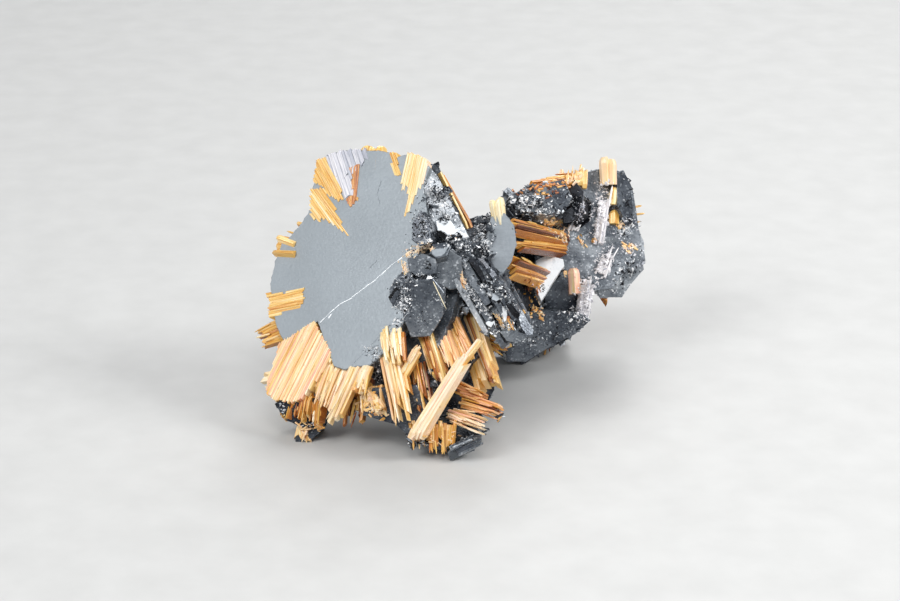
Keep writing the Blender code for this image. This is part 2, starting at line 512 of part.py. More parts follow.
def keep_outer_shell(mesh):
    """Drops sealed gaps between the crystals and anything that touches nothing."""
    shape = bmesh.new()
    shape.from_mesh(mesh)
    left = set(shape.faces)
    shells = []
    while left:
        shell, front = set(), [left.pop()]
        while front:
            face = front.pop()
            shell.add(face)
            for edge in face.edges:
                for other in edge.link_faces:
                    if other in left:
                        left.remove(other)
                        front.append(other)
        shells.append(shell)
    outer = max(shells, key=signed_volume)
    spare = [face for shell in shells if shell is not outer for face in shell]
    bmesh.ops.delete(shape, geom=spare, context="FACES")
    shape.to_mesh(mesh)
    shape.free()


def hematite_material():
    material = bpy.data.materials.new("hematite")
    material.use_nodes = True
    shader = material.node_tree.nodes["Principled BSDF"]
    shader.inputs["Base Color"].default_value = (0.28, 0.31, 0.34, 1.0)
    shader.inputs["Metallic"].default_value = 0.7
    shader.inputs["Roughness"].default_value = 0.35
    return material


def clear_scene():
    for old in list(bpy.data.objects):
        bpy.data.objects.remove(old)


def collection_named(name):
    made = bpy.data.collections.new(name)
    bpy.context.scene.collection.children.link(made)
    return made


def join(base, others, cutter, specimen):
    """One solid of all the crystals, cut flat where it rests."""
    tools = collection_named("crystals_to_join")
    tools.hide_render = True
    for other in others:
        tools.objects.link(other)
        other.hide_render = True
        other.display_type = "WIRE"
    specimen.objects.link(base)
    union = base.modifiers.new("grown together", "BOOLEAN")
    union.operation = "UNION"
    union.operand_type = "COLLECTION"
    union.collection = tools
    union.solver = "EXACT"
    rest = base.modifiers.new("rests on tips", "BOOLEAN")
    rest.operation = "DIFFERENCE"
    rest.object = cutter
    rest.solver = "EXACT"
    graph = bpy.context.evaluated_depsgraph_get()
    mesh = bpy.data.meshes.new_from_object(base.evaluated_get(graph))
    base.modifiers.clear()
    base.data = mesh
    for other in others:
        bpy.data.objects.remove(other)
    keep_outer_shell(mesh)


def main():
    clear_scene()
    dice = random.Random(SEED)
    specimen = collection_named("rutile_crystal_cluster")
    cutter = floor_cutter()
    crystals = stack_plates() + blocks() + dark_pile()
    crystals += front_rutile(dice) + back_star(dice) + free_rutile(dice) + rubble(dice)
    base = crystals[0]
    join(base, crystals[1:], cutter, specimen)
    base.name = NODE_NAME
    base.data.name = NODE_NAME
    base.data.materials.clear()
    base.data.materials.append(hematite_material())


main()
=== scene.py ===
"""The look of a specimen of golden rutile on hematite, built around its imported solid.

Lengths are in millimetres up to the point where a mesh is made. Places are given as someone
looking at the specimen sees them: x to the right and y up on the plane through its middle, and
near, the distance by which a point comes towards the eye.
"""

import bisect
import math
import random

import bmesh
import bpy
from mathutils import Matrix, Vector
from mathutils.bvhtree import BVHTree


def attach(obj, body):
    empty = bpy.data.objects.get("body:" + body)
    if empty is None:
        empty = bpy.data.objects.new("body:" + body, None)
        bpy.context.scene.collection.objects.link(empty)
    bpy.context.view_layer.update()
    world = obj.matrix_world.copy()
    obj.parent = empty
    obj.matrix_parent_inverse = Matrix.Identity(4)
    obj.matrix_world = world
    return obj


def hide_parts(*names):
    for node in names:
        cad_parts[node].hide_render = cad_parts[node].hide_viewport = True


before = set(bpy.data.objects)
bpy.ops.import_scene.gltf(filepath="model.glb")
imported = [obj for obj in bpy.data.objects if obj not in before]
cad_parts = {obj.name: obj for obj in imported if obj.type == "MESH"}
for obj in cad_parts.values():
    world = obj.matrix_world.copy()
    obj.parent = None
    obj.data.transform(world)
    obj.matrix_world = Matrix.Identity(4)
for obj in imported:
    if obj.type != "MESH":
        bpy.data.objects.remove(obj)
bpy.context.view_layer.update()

MM = 0.001
NODE_NAME = "crystal_cluster"
SEED = 16
DETAIL_SEED = 5

LOOK_DOWN = math.radians(21.5)
EYE_DISTANCE = 187.5
VIEW_MIDDLE = Vector((-0.31, -7.65, 10.2))
RIGHT = Vector((1.0, 0.0, 0.0))
UP = Vector((0.0, math.sin(LOOK_DOWN), math.cos(LOOK_DOWN)))
NEAR = Vector((0.0, -math.cos(LOOK_DOWN), math.sin(LOOK_DOWN)))
EYE = VIEW_MIDDLE + NEAR * EYE_DISTANCE


def aim(right, up, near):
    """The unit direction with these shares of right, up and towards the eye."""
    return (RIGHT * right + UP * up + NEAR * near).normalized()


def seen(x, y, near):
    """The point seen at x, y that is this much nearer to the eye than the middle."""
    shrink = (EYE_DISTANCE - near) / EYE_DISTANCE
    return VIEW_MIDDLE + (RIGHT * x + UP * y) * shrink + NEAR * near


STACK_NORMAL = aim(-0.449, 0.249, 0.858)
STACK_ANCHOR = seen(-2.9, 3.6, 0.0)


def on_plane(x, y, anchor, normal):
    """The point seen at x, y that lies on the plane through anchor."""
    ray = seen(x, y, 0.0) - EYE
    return EYE + ray * ((anchor - EYE).dot(normal) / ray.dot(normal))


def on_stack(x, y, depth):
    """The point seen at x, y on the plane that lies depth behind the front plate's face."""
    return on_plane(x, y, STACK_ANCHOR - STACK_NORMAL * depth, STACK_NORMAL)


# The crystals, as in the part's own source.
FRONT_OUTLINE = [
    (-8.8, 10.5), (-7.5, 10.8), (-4.9, 10.8), (-3.7, 10.4), (-2.8, 10.5), (-1.4, 9.7),
    (-1.8, 8.2), (-1.6, 6.2), (-1.9, 4.0), (-2.8, 1.9), (-3.3, -1.6), (-4.6, -3.7),
    (-5.7, -4.7), (-7.5, -5.0), (-8.3, -4.8), (-8.9, -3.2), (-9.5, -1.6), (-10.7, -2.2),
    (-11.9, -3.0), (-12.5, -1.8), (-12.8, -0.3), (-12.9, 1.2), (-12.6, 2.8), (-12.1, 4.1),
    (-11.3, 4.8), (-10.7, 5.6), (-9.9, 6.8), (-9.9, 8.0), (-9.5, 9.3),
]  # fmt: skip
SECOND_OUTLINE = [
    (-8.0, 10.2), (-5.0, 10.5), (-2.6, 10.2), (-1.2, 9.8), (1.2, 4.3), (1.0, 1.4),
    (-0.4, -2.6), (-2.0, -5.8), (-5.2, -6.4), (-8.4, -4.6), (-10.6, -1.8), (-11.5, 2.0),
    (-10.6, 5.4), (-9.3, 8.4),
]  # fmt: skip
THIRD_OUTLINE = [
    (-6.5, 9.0), (-3.5, 9.3), (-1.0, 8.0), (1.8, 4.0), (3.0, 0.5), (2.4, -3.4),
    (0.2, -6.4), (-3.2, -6.9), (-6.4, -5.2), (-8.4, -2.0), (-9.0, 2.0), (-8.3, 6.0),
]  # fmt: skip
BELLY = 0.3
BELLY_SIZE = 1.02
STACK = [
    (FRONT_OUTLINE, 0.0, 2.3, 0.94),
    (SECOND_OUTLINE, 2.2, 2.0, 0.97),
    (THIRD_OUTLINE, 4.6, 2.2, 0.9),
]
BLOCKS = {
    "side_bevel": (
        [(-1.5, 9.7), (-0.8, 8.8), (1.4, 4.5), (0.6, 4.3), (-0.2, 4.2), (-1.3, 5.4), (-1.9, 7.9)],
        -1.6, aim(0.30, 0.30, 0.90), 3.0, 0.9),
    "eye_crystal": (
        [(-2.1, 6.5), (-1.5, 5.6), (-1.3, 4.2), (-2.1, 3.8), (-2.8, 4.3), (-2.7, 5.6)],
        1.0, aim(-0.3, 0.1, 0.95), 2.0, 1.1),
    "round_facet": (
        [(-1.3, 4.1), (-0.3, 4.2), (0.1, 3.9), (-0.2, 3.2), (-1.0, 3.0), (-1.5, 3.4)],
        1.2, aim(-0.1, 0.55, 0.83), 2.5, 1.1),
    "grey_facet": (
        [(-1.2, 3.2), (-0.1, 3.7), (0.9, 3.1), (1.0, 2.0), (0.9, 0.8), (0.0, 0.7), (-1.2, 1.4)],
        1.3, aim(0.1, -0.15, 0.98), 4.0, 1.15),
    "dark_facet": (
        [(-3.1, 3.0), (-2.0, 3.4), (-1.0, 3.0), (-1.0, 1.9), (-2.4, 1.7), (-3.0, 2.2)],
        1.1, aim(-0.35, -0.05, 0.93), 2.6, 1.1),
    "broken_corner": (
        [(-4.4, 0.8), (-3.7, 1.9), (-2.8, 2.1), (-2.3, 1.0), (-2.6, -0.4), (-3.4, -0.9),
         (-4.3, -0.1)],
        0.9, aim(-0.15, 0.1, 0.97), 2.4, 1.1),
    "blue_facet": (
        [(-3.2, 1.4), (-1.2, 1.6), (-0.4, 0.6), (-0.5, -1.2), (-1.4, -2.6), (-2.8, -2.7), (-3.4, -1.2)],
        1.7, aim(-0.1, -0.2, 0.97), 4.4, 1.05),
    "grey_tablet": (
        [(2.9, 6.0), (3.9, 6.3), (4.6, 5.4), (4.8, 4.0), (4.4, 2.7), (3.7, 1.8), (3.0, 2.5),
         (2.5, 4.2)],
        -2.6, aim(0.05, 0.1, 0.99), 2.6, 1.0),
    "low_tablet": (
        [(-0.2, -10.9), (0.5, -10.1), (1.0, -9.7), (2.3, -9.6), (2.3, -10.1), (1.6, -10.8),
         (0.0, -11.5)],
        1.5, aim(0.35, -0.25, 0.9), 2.6, 0.95),
    "under_plate": (
        [(-6.3, -8.2), (-3.9, -8.9), (-3.1, -9.6), (-2.4, -9.3), (-1.4, -7.6), (-2.4, -6.0),
         (-5.6, -6.2)],
        0.6, aim(-0.2, -0.1, 0.97), 3.4, 1.0),
    "brown_corner": (
        [(-12.6, -7.4), (-11.5, -6.8), (-9.2, -7.0), (-8.4, -7.6), (-9.3, -8.6),
         (-10.4, -9.2), (-11.7, -8.6)],
        -1.8, aim(-0.2, -0.1, 0.97), 3.0, 1.1),
    "left_foot": (
        [(-10.9, -8.7), (-9.6, -8.2), (-8.9, -8.4), (-9.2, -9.3), (-9.9, -10.0), (-11.1, -10.2)],
        -1.9, aim(-0.1, 0.0, 0.99), 2.2, 1.0),
    "low_middle": (
        [(-3.4, -8.6), (-1.8, -8.9), (0.2, -8.6), (1.8, -8.9), (2.2, -9.6), (0.4, -10.9),
         (-1.4, -10.6), (-3.0, -9.9)],
        0.9, aim(0.0, -0.2, 0.98), 4.6, 1.0),
    "right_shoulder": (
        [(-0.6, -2.2), (1.2, -1.8), (3.0, -3.6), (3.2, -6.4), (2.2, -8.3), (0.2, -8.4),
         (-1.0, -5.4)],
        -2.9, aim(0.1, -0.1, 0.99), 5.0, 1.05),
    "neck": (
        [(1.2, 4.0), (3.2, 6.0), (5.6, 6.6), (7.6, 5.2), (7.6, 1.4), (5.8, -1.6), (3.2, -2.4),
         (1.0, 0.2)],
        -3.4, aim(0.86, 0.12, 0.5), 6.4, 1.0),
    "rear_bridge": (
        [(4.2, 7.4), (5.6, 8.3), (8.2, 8.7), (8.8, 7.4), (8.2, 6.3), (6.6, 6.2), (4.9, 6.5)],
        -7.4, aim(0.35, 0.55, 0.75), 5.0, 0.9),
    "rear_plate": (
        [(7.9, 8.9), (9.6, 9.2), (11.3, 9.6), (12.4, 9.2), (13.1, 7.9), (13.4, 6.0), (13.7, 4.2),
         (13.0, 2.6), (11.6, 0.8), (9.6, 0.6), (7.8, 1.8), (6.9, 4.2), (7.2, 6.8)],
        -13.0, aim(0.22, 0.2, 0.95), 2.6, 0.95),
    "rear_second": (
        [(8.4, 8.0), (11.0, 8.8), (12.6, 8.0), (13.4, 5.0), (12.8, 2.2), (10.6, 0.6),
         (7.6, 0.9), (6.6, 4.2)],
        -15.4, aim(0.22, 0.2, 0.95), 2.6, 0.8),
    "rear_dark": (
        [(7.5, 8.3), (8.9, 8.7), (9.6, 7.8), (9.5, 6.5), (8.5, 5.7), (7.6, 6.3)],
        -12.4, aim(-0.35, 0.4, 0.85), 2.0, 1.0),
    "rear_right_facet": (
        [(11.9, 9.2), (12.4, 9.4), (13.1, 8.0), (13.4, 6.0), (12.7, 5.4), (12.0, 6.6)],
        -13.3, aim(0.7, 0.2, 0.7), 2.2, 1.0),
    "rear_lump": (
        [(12.2, 5.0), (13.4, 5.5), (13.9, 4.2), (14.0, 2.6), (13.0, 2.0), (12.1, 3.2)],
        -13.0, aim(0.45, 0.05, 0.9), 2.4, 1.0),
    "lower_lobe": (
        [(10.6, 4.4), (12.2, 4.8), (13.7, 3.6), (13.9, 2.2), (12.9, 1.0), (12.3, 0.2),
         (10.7, 0.1), (9.9, 2.0)],
        -12.4, aim(0.3, -0.25, 0.92), 3.2, 0.95),
    "white_blade": (
        [(6.1, 2.9), (7.0, 3.3), (8.1, 3.0), (8.2, 2.5), (7.3, 1.2), (6.5, -0.1), (6.1, 0.8)],
        -10.6, aim(0.1, 0.42, 0.9), 0.7, 1.0),
    "blue_block": (
        [(6.7, 0.9), (7.9, 1.8), (9.8, 1.2), (10.2, 0.0), (9.7, -1.2), (8.0, -1.6), (6.7, -0.8)],
        -11.4, aim(0.1, -0.3, 0.95), 4.6, 1.05),
    "rear_low": (
        [(3.8, -2.0), (6.0, -0.6), (9.4, -0.9), (10.1, -1.4), (9.0, -2.4), (7.2, -3.3),
         (5.4, -4.4), (4.0, -4.4)],
        -10.0, aim(0.1, -0.1, 0.99), 6.6, 1.05),
    "rear_foot": (
        [(4.2, -2.6), (6.6, -1.9), (9.0, -2.0), (8.6, -2.7), (6.8, -3.6), (5.4, -4.5), (4.3, -4.3)],
        -15.0, aim(0.0, 0.0, 1.0), 5.0, 0.9),
}  # fmt: skip
DARK_PILE_TOP = (0.9, 3.0, 1.2)
DARK_PILE_END = (4.5, -3.5, 1.5)
DARK_PILE_NORMAL = aim(0.78, 0.55, 0.25)
DARK_PILE_DEPTH = 3.6
DARK_LEAF = 0.6
DARK_LEAF_OVERLAP = 1.1
DARK_LEAF_STEP = 0.15
DARK_LEAF_CHISEL = 0.12
DARK_LEAVES = [(0.06, 0.80), (0.02, 1.0), (0.0, 0.92), (0.08, 1.04), (0.3, 1.0)]
STACK_SHEAVES = {
    "wedge_left": ((-12.0, -3.2), (-9.6, -1.5), (-13.0, -6.1), (-12.1, -7.1), 0.5, 5, 1.0),
    "wedge_right": ((-9.7, -1.5), (-8.5, -4.2), (-12.1, -7.1), (-10.4, -7.0), 0.5, 5, 1.0),
    "wedge_low": ((-8.7, -4.0), (-7.9, -5.0), (-10.1, -7.6), (-8.8, -7.8), 0.6, 3, 1.0),
    "brown_mass": ((-11.5, -6.8), (-8.9, -7.2), (-12.2, -8.6), (-9.0, -9.2), 0.8, 6, 1.1),
    "left_outcrop": ((-12.0, -5.0), (-11.9, -6.8), (-13.9, -5.4), (-13.2, -6.8), 1.2, 3, 0.9),
    "bottom_left": ((-8.0, -4.9), (-6.9, -4.7), (-9.2, -7.8), (-8.4, -8.8), 0.5, 4, 0.8),
    "bottom_long": ((-6.9, -4.7), (-6.0, -4.6), (-8.6, -8.9), (-8.0, -8.9), 0.4, 3, 0.8),
    "bottom_short": ((-6.1, -4.9), (-5.5, -4.8), (-6.8, -6.8), (-6.1, -6.8), 0.3, 2, 0.8),
    "behind_bottom": ((-7.6, -5.4), (-5.4, -5.6), (-7.8, -9.2), (-6.2, -9.4), 2.0, 3, 0.9),
    "knot": ((-6.3, -6.4), (-4.8, -6.2), (-6.1, -8.2), (-4.7, -8.3), 1.0, 4, 1.0),
    "long_middle": ((-4.9, -4.0), (-3.7, -3.9), (-3.8, -9.5), (-2.6, -8.8), 0.6, 5, 0.9),
    "above_middle": ((-4.8, -2.4), (-3.3, -2.4), (-4.3, -4.8), (-3.1, -4.9), 0.2, 3, 0.9),
    "yellow_stick": ((-3.6, -4.4), (-3.3, -4.3), (-3.0, -7.1), (-2.7, -7.0), 0.9, 1, 0.6),
    "middle_right": ((-2.7, -4.6), (-1.8, -4.5), (-2.1, -8.2), (-1.1, -8.0), 2.0, 4, 0.9),
    "centre_left": ((-2.4, -2.0), (-1.5, -1.9), (-0.9, -6.4), (-0.2, -6.2), 2.0, 4, 0.8),
    "centre": ((-1.5, -1.6), (-0.4, -1.4), (-0.1, -5.4), (0.9, -5.2), 2.6, 4, 0.8),
    "centre_right": ((-0.4, -1.2), (0.5, -1.2), (1.2, -4.6), (2.0, -4.4), 3.2, 4, 0.8),
    "right_sheet": ((0.8, -1.8), (2.2, -1.8), (2.2, -7.0), (3.8, -6.6), 5.4, 6, 1.1),
    "right_long": ((1.2, -1.2), (2.1, -1.3), (2.9, -5.2), (3.7, -6.2), 5.0, 3, 1.0),
    "low_right_upper": ((0.6, -5.8), (0.6, -6.6), (2.9, -6.8), (2.8, -7.6), 4.6, 3, 1.2),
    "low_right_middle": ((1.0, -6.6), (0.8, -7.6), (3.7, -7.5), (3.6, -8.4), 4.2, 4, 1.2),
    "low_right_white": ((0.2, -7.8), (0.0, -8.6), (2.9, -8.6), (2.4, -9.5), 3.6, 4, 1.2),
    "top_left": ((-8.4, 6.6), (-7.6, 4.6), (-9.7, 9.9), (-8.5, 10.4), 0.1, 5, 0.8),
    "top_left_low": ((-9.2, 5.9), (-7.8, 4.6), (-9.9, 8.0), (-8.9, 8.6), 0.12, 4, 0.8),
    "top_silver": ((-7.6, 7.4), (-6.9, 7.4), (-8.4, 10.8), (-6.5, 10.9), 0.14, 5, 0.8),
    "top_nubs": ((-6.3, 9.6), (-4.7, 9.6), (-6.2, 11.1), (-4.6, 11.1), 0.7, 3, 1.0),
    "top_strip": ((-3.7, 8.9), (-3.4, 8.9), (-4.4, 10.5), (-3.9, 10.6), 0.1, 1, 0.8),
    "top_right": ((-3.4, 6.0), (-2.0, 7.2), (-2.6, 10.5), (-1.4, 9.8), 0.12, 5, 0.8),
    "left_nubs": ((-11.2, 4.2), (-11.2, 3.0), (-12.3, 4.7), (-12.9, 3.0), 0.5, 3, 1.2),
    "left_patch": ((-10.5, 1.0), (-11.0, -0.6), (-13.2, 1.3), (-12.9, -0.8), 0.2, 5, 1.0),
    "left_low": ((-12.2, -1.4), (-12.0, -3.0), (-13.9, -2.3), (-13.6, -3.4), 1.6, 3, 0.8),
    "layer_left": ((-10.0, 5.2), (-10.6, 1.0), (-11.3, 5.8), (-12.5, 1.2), 3.0, 3, 0.9),
    "layer_top": ((-8.6, 8.4), (-2.8, 9.0), (-8.4, 10.6), (-2.4, 10.5), 3.4, 3, 0.8),
    "layer_low": ((-9.6, -3.6), (-3.6, -6.0), (-11.4, -6.4), (-4.6, -8.6), 3.6, 3, 0.9),
}
STAR_MIDDLE = (-3.4, 1.4)
STAR_DEPTH = 6.9
STAR_RADIUS = 6.4
STAR_LATHS = 3
STAR_ROOT = 1.1
STAR_TIP = 1.8
STAR_THICK = 0.9
SHORT_ARMS = (4, 5)
SHORT_ARM = 0.75
AXIS_TURN = 3.0
FREE_SHEAVES = {
    "big_prism": ((-2.7, -9.5, 1.9), (-1.7, -9.4, 2.0), (1.2, -3.5, 2.6), (1.7, -3.7, 2.7),
                  aim(-0.3, 0.25, 0.9), 3, 0.9),
    "big_prism_tip": ((-1.3, -7.2, 2.2), (-1.1, -7.4, 2.2), (2.6, -2.1, 2.8), (2.75, -2.3, 2.8),
                      aim(-0.3, 0.25, 0.9), 1, 0.7),
    "crossing_stick": ((-3.4, -5.2, 1.4), (-3.0, -5.2, 1.4), (-2.2, -2.8, 1.9), (-1.7, -2.9, 1.9),
                       aim(-0.2, 0.2, 0.95), 2, 0.7),
    "side_needles": ((0.9, 5.4, -2.6), (1.5, 5.6, -2.8), (-1.0, 9.5, -3.2), (-0.6, 9.1, -3.4),
                     aim(0.5, 0.3, 0.8), 2, 0.5),
    "grey_tablet_nub": ((3.1, 5.8, -3.2), (3.9, 6.0, -3.2), (2.8, 7.2, -3.0), (3.8, 7.5, -3.0),
                        aim(0.0, 0.3, 0.95), 3, 1.0),
    "bridge_upper": ((8.0, 4.8, -11.8), (8.2, 3.9, -12.0), (3.8, 6.0, -4.2), (4.2, 4.9, -4.2),
                     aim(0.2, 0.55, 0.8), 4, 1.0),
    "bridge_middle": ((8.2, 3.9, -12.0), (8.0, 3.2, -12.0), (4.4, 4.3, -4.6), (4.4, 3.7, -4.6),
                      aim(0.2, 0.55, 0.8), 3, 0.8),
    "bridge_lower": ((6.9, 1.9, -10.6), (6.6, 1.1, -10.6), (4.0, 3.1, -4.4), (4.1, 1.8, -4.4),
                     aim(0.2, 0.55, 0.8), 4, 0.9),
    "under_pile": ((2.0, -2.2, -3.0), (1.8, -2.9, -3.0), (4.6, -3.4, -2.6), (4.2, -4.0, -2.6),
                   aim(0.1, 0.3, 0.9), 3, 0.8),
    "rear_top": ((9.2, 9.0, -12.8), (8.6, 7.9, -12.2), (5.5, 8.5, -10.4), (5.0, 7.5, -9.6),
                 aim(0.1, 0.6, 0.8), 5, 0.9),
    "rear_edge": ((7.8, 8.2, -12.0), (9.6, 8.4, -12.8), (8.0, 9.4, -12.4), (9.7, 9.7, -13.2),
                  aim(0.0, 0.4, 0.9), 3, 0.9),
    "rear_crown": ((10.8, 8.7, -13.3), (11.8, 8.7, -13.5), (10.7, 10.2, -13.3), (11.8, 10.2, -13.5),
                   aim(0.1, 0.3, 0.95), 2, 1.1),
    "rear_streak": ((10.3, 4.3, -12.6), (10.9, 4.3, -12.7), (10.9, 8.6, -13.7), (11.5, 8.6, -13.8),
                    aim(0.22, 0.2, 0.95), 2, 0.9),
    "rear_streak_left": ((8.6, 5.3, -12.4), (9.1, 5.1, -12.4), (9.6, 7.1, -13.0), (10.1, 6.9, -13.0),
                         aim(0.22, 0.2, 0.95), 1, 0.9),
    "rear_streak_low": ((10.5, 2.0, -12.1), (11.1, 2.0, -12.2), (11.2, 3.9, -12.7), (11.8, 3.8, -12.8),
                        aim(0.22, 0.2, 0.95), 1, 1.0),
    "rear_nub_upper": ((11.4, 7.2, -13.5), (11.9, 7.2, -13.6), (11.5, 8.1, -13.7), (12.0, 8.1, -13.8),
                       aim(0.22, 0.2, 0.95), 1, 1.1),
    "rear_nub_lower": ((11.4, 5.9, -13.2), (11.9, 5.9, -13.3), (11.4, 6.7, -13.4), (11.9, 6.7, -13.5),
                       aim(0.22, 0.2, 0.95), 1, 1.1),
    "pink_nub": ((8.6, 0.9, -11.4), (9.2, 0.9, -11.5), (8.5, 2.3, -11.6), (9.1, 2.3, -11.7),
                 aim(0.1, 0.0, 1.0), 1, 1.1),
    "white_column": ((9.0, -1.2, -11.7), (9.8, -1.0, -11.9), (9.5, 1.9, -11.2), (10.3, 1.8, -11.4),
                     aim(0.4, 0.0, 0.9), 2, 1.0),
    "rear_right": ((12.0, 3.6, -14.6), (12.2, 6.8, -14.8), (14.0, 3.4, -14.8), (13.9, 7.0, -15.0),
                   aim(0.2, 0.2, 0.95), 3, 0.8),
    "rear_back_low": ((9.0, 3.0, -17.6), (12.0, 4.6, -17.6), (11.4, -0.6, -18.0), (14.0, 1.4, -18.0),
                      aim(0.22, 0.2, 0.95), 3, 0.9),
    "rear_back_up": ((8.6, 4.4, -17.8), (11.4, 5.6, -17.8), (7.4, 8.8, -18.6), (10.6, 9.6, -18.6),
                     aim(0.22, 0.2, 0.95), 3, 0.9),
    "rear_floor": ((5.4, -1.4, -15.0), (7.6, -1.0, -15.4), (4.6, -4.2, -17.0), (7.4, -3.4, -18.2),
                   aim(0.1, 0.2, 0.97), 4, 1.0),
    "low_left_foot": (
        (-10.6, -8.2, -2.0), (-9.9, -8.2, -2.0), (-11.2, -10.4, -2.0), (-10.4, -10.3, -2.0),
                      aim(0.1, 0.1, 0.99), 2, 0.9),
    "low_middle_feet": ((-2.9, -8.8, 1.2), (0.4, -9.0, 1.2), (-2.6, -10.6, 1.0), (0.2, -11.4, 1.0),
                        aim(0.0, 0.1, 0.99), 4, 0.8),
}  # fmt: skip
LATH_WIDTH = 0.42
LATH_OVERLAP = 1.3
LATH_SINK = 0.5
LATH_TAPER = 0.86
# How the laths of one sheaf differ: the range of each one's length, width, thickness and slant of
# the end, all as shares, and how far they shift and twist.
LATH_LENGTHS = (0.88, 1.04)
LATH_WIDTHS = (0.9, 1.15)
LATH_THICKNESSES = (0.85, 1.15)
LATH_CHISELS = (0.2, 1.0)
LATH_LIFT = 0.18
LATH_TWIST = 0.12
LUMP_CORNERS = 7
LUMP_SINK = 0.2
RUBBLE = {
    "beside_bevel": ((-0.6, 7.2, -0.5), 0.6, 1.6, 5, 0.6),
    "crest": ((1.3, 4.2, 0.6), 1.4, 0.6, 6, 0.6),
    "corner": ((-3.3, 0.8, 1.0), 0.7, 1.3, 5, 0.6),
    "between": ((-1.7, 1.8, 1.2), 0.9, 0.3, 4, 0.5),
    "tablet_edge": ((2.6, 4.6, -1.6), 0.5, 1.8, 5, 0.6),
    "pile_side": ((2.4, -0.2, 0.9), 1.6, 1.0, 5, 0.5),
    "plate_foot": ((-5.2, -4.9, 0.4), 0.6, 0.9, 5, 0.5),
    "bridge_top": ((5.4, 7.6, -7.4), 1.8, 0.8, 5, 0.8),
    "low_front": ((-1.2, -10.0, 1.4), 1.6, 0.5, 5, 0.55),
    "dark_knot": ((-1.7, -5.6, 1.0), 0.5, 0.6, 4, 0.7),
    "low_right_tips": ((2.9, -8.8, -0.2), 0.8, 0.6, 4, 0.5),
}

# How each sheaf looks: tone, from 0 for pale cream to 1 for dark brown; how pink; how wide its
# strands are; and how uneven they are.
LOOKS = {
    "wedge_low": (0.24, 0.5, 0.22, 0.8), "left_outcrop": (0.06, 0.1, 0.4, 0.3),
    "brown_mass": (0.44, 0.1, 0.1, 1.0), "bottom_left": (0.14, 0.5, 0.28, 0.9),
    "bottom_long": (0.16, 0.2, 0.28, 0.8), "bottom_short": (0.14, 0.2, 0.3, 1.0),
    "behind_bottom": (0.56, 0.1, 0.26, 1.2), "knot": (0.26, 0.3, 0.24, 1.4),
    "long_middle": (0.18, 0.4, 0.28, 1.0), "above_middle": (0.18, 0.2, 0.24, 1.2),
    "yellow_stick": (0.46, 0.0, 0.3, 0.4), "middle_right": (0.44, 0.1, 0.26, 1.0),
    "centre_left": (0.28, 0.4, 0.24, 1.0), "centre": (0.27, 0.7, 0.22, 0.9),
    "centre_right": (0.36, 0.5, 0.24, 0.9), "right_sheet": (0.28, 0.1, 0.5, 0.25),
    "right_long": (0.34, 0.2, 0.36, 0.4), "low_right_upper": (0.46, 0.7, 0.16, 1.0),
    "low_right_middle": (0.42, 0.9, 0.16, 1.2), "low_right_white": (0.06, 0.5, 0.16, 1.6),
    "top_nubs": (0.34, 0.1, 0.5, 0.5), "left_nubs": (0.34, 0.1, 0.5, 0.6),
    "left_low": (0.36, 0.1, 0.26, 1.0), "big_prism": (0.0, 0.42, 0.2, 0.06),
    "big_prism_tip": (0.0, 0.8, 0.2, 0.1), "crossing_stick": (0.12, 0.4, 0.2, 0.6),
    "side_needles": (0.24, 0.0, 0.3, 0.2), "grey_tablet_nub": (0.02, 0.0, 0.4, 0.3),
    "bridge_upper": (0.54, 0.2, 0.18, 0.7), "bridge_middle": (0.46, 0.1, 0.18, 0.8),
    "bridge_lower": (0.58, 0.1, 0.18, 0.8), "under_pile": (0.44, 0.0, 0.26, 1.0),
    "rear_top": (0.56, 0.0, 0.16, 1.0), "rear_edge": (0.24, 0.3, 0.3, 0.8),
    "rear_crown": (0.1, 0.6, 0.6, 0.2), "rear_nub_upper": (0.32, 0.0, 0.6, 0.2),
    "rear_nub_lower": (0.34, 0.0, 0.6, 0.2), "pink_nub": (0.12, 0.7, 0.6, 0.2),
    "rear_streak": (1.05, 0.0, 0.2, 1.2), "rear_streak_left": (0.95, 0.0, 0.2, 1.2),
    "rear_streak_low": (1.05, 0.0, 0.2, 1.2), "white_column": (1.05, 0.0, 0.2, 1.2),
    "low_left_foot": (0.2, 0.5, 0.3, 0.6), "low_middle_feet": (0.44, 0.3, 0.26, 1.4),
}  # fmt: skip
PLAIN_LOOK = (0.42, 0.15, 0.26, 1.0)
# Sheaves whose laths are thinner in the scene than in the solid.
SLIM = {"side_needles": 0.45, "rear_crown": 0.85}
PALE_SHEAVES = ["rear_streak", "rear_streak_left", "rear_streak_low", "white_column"]
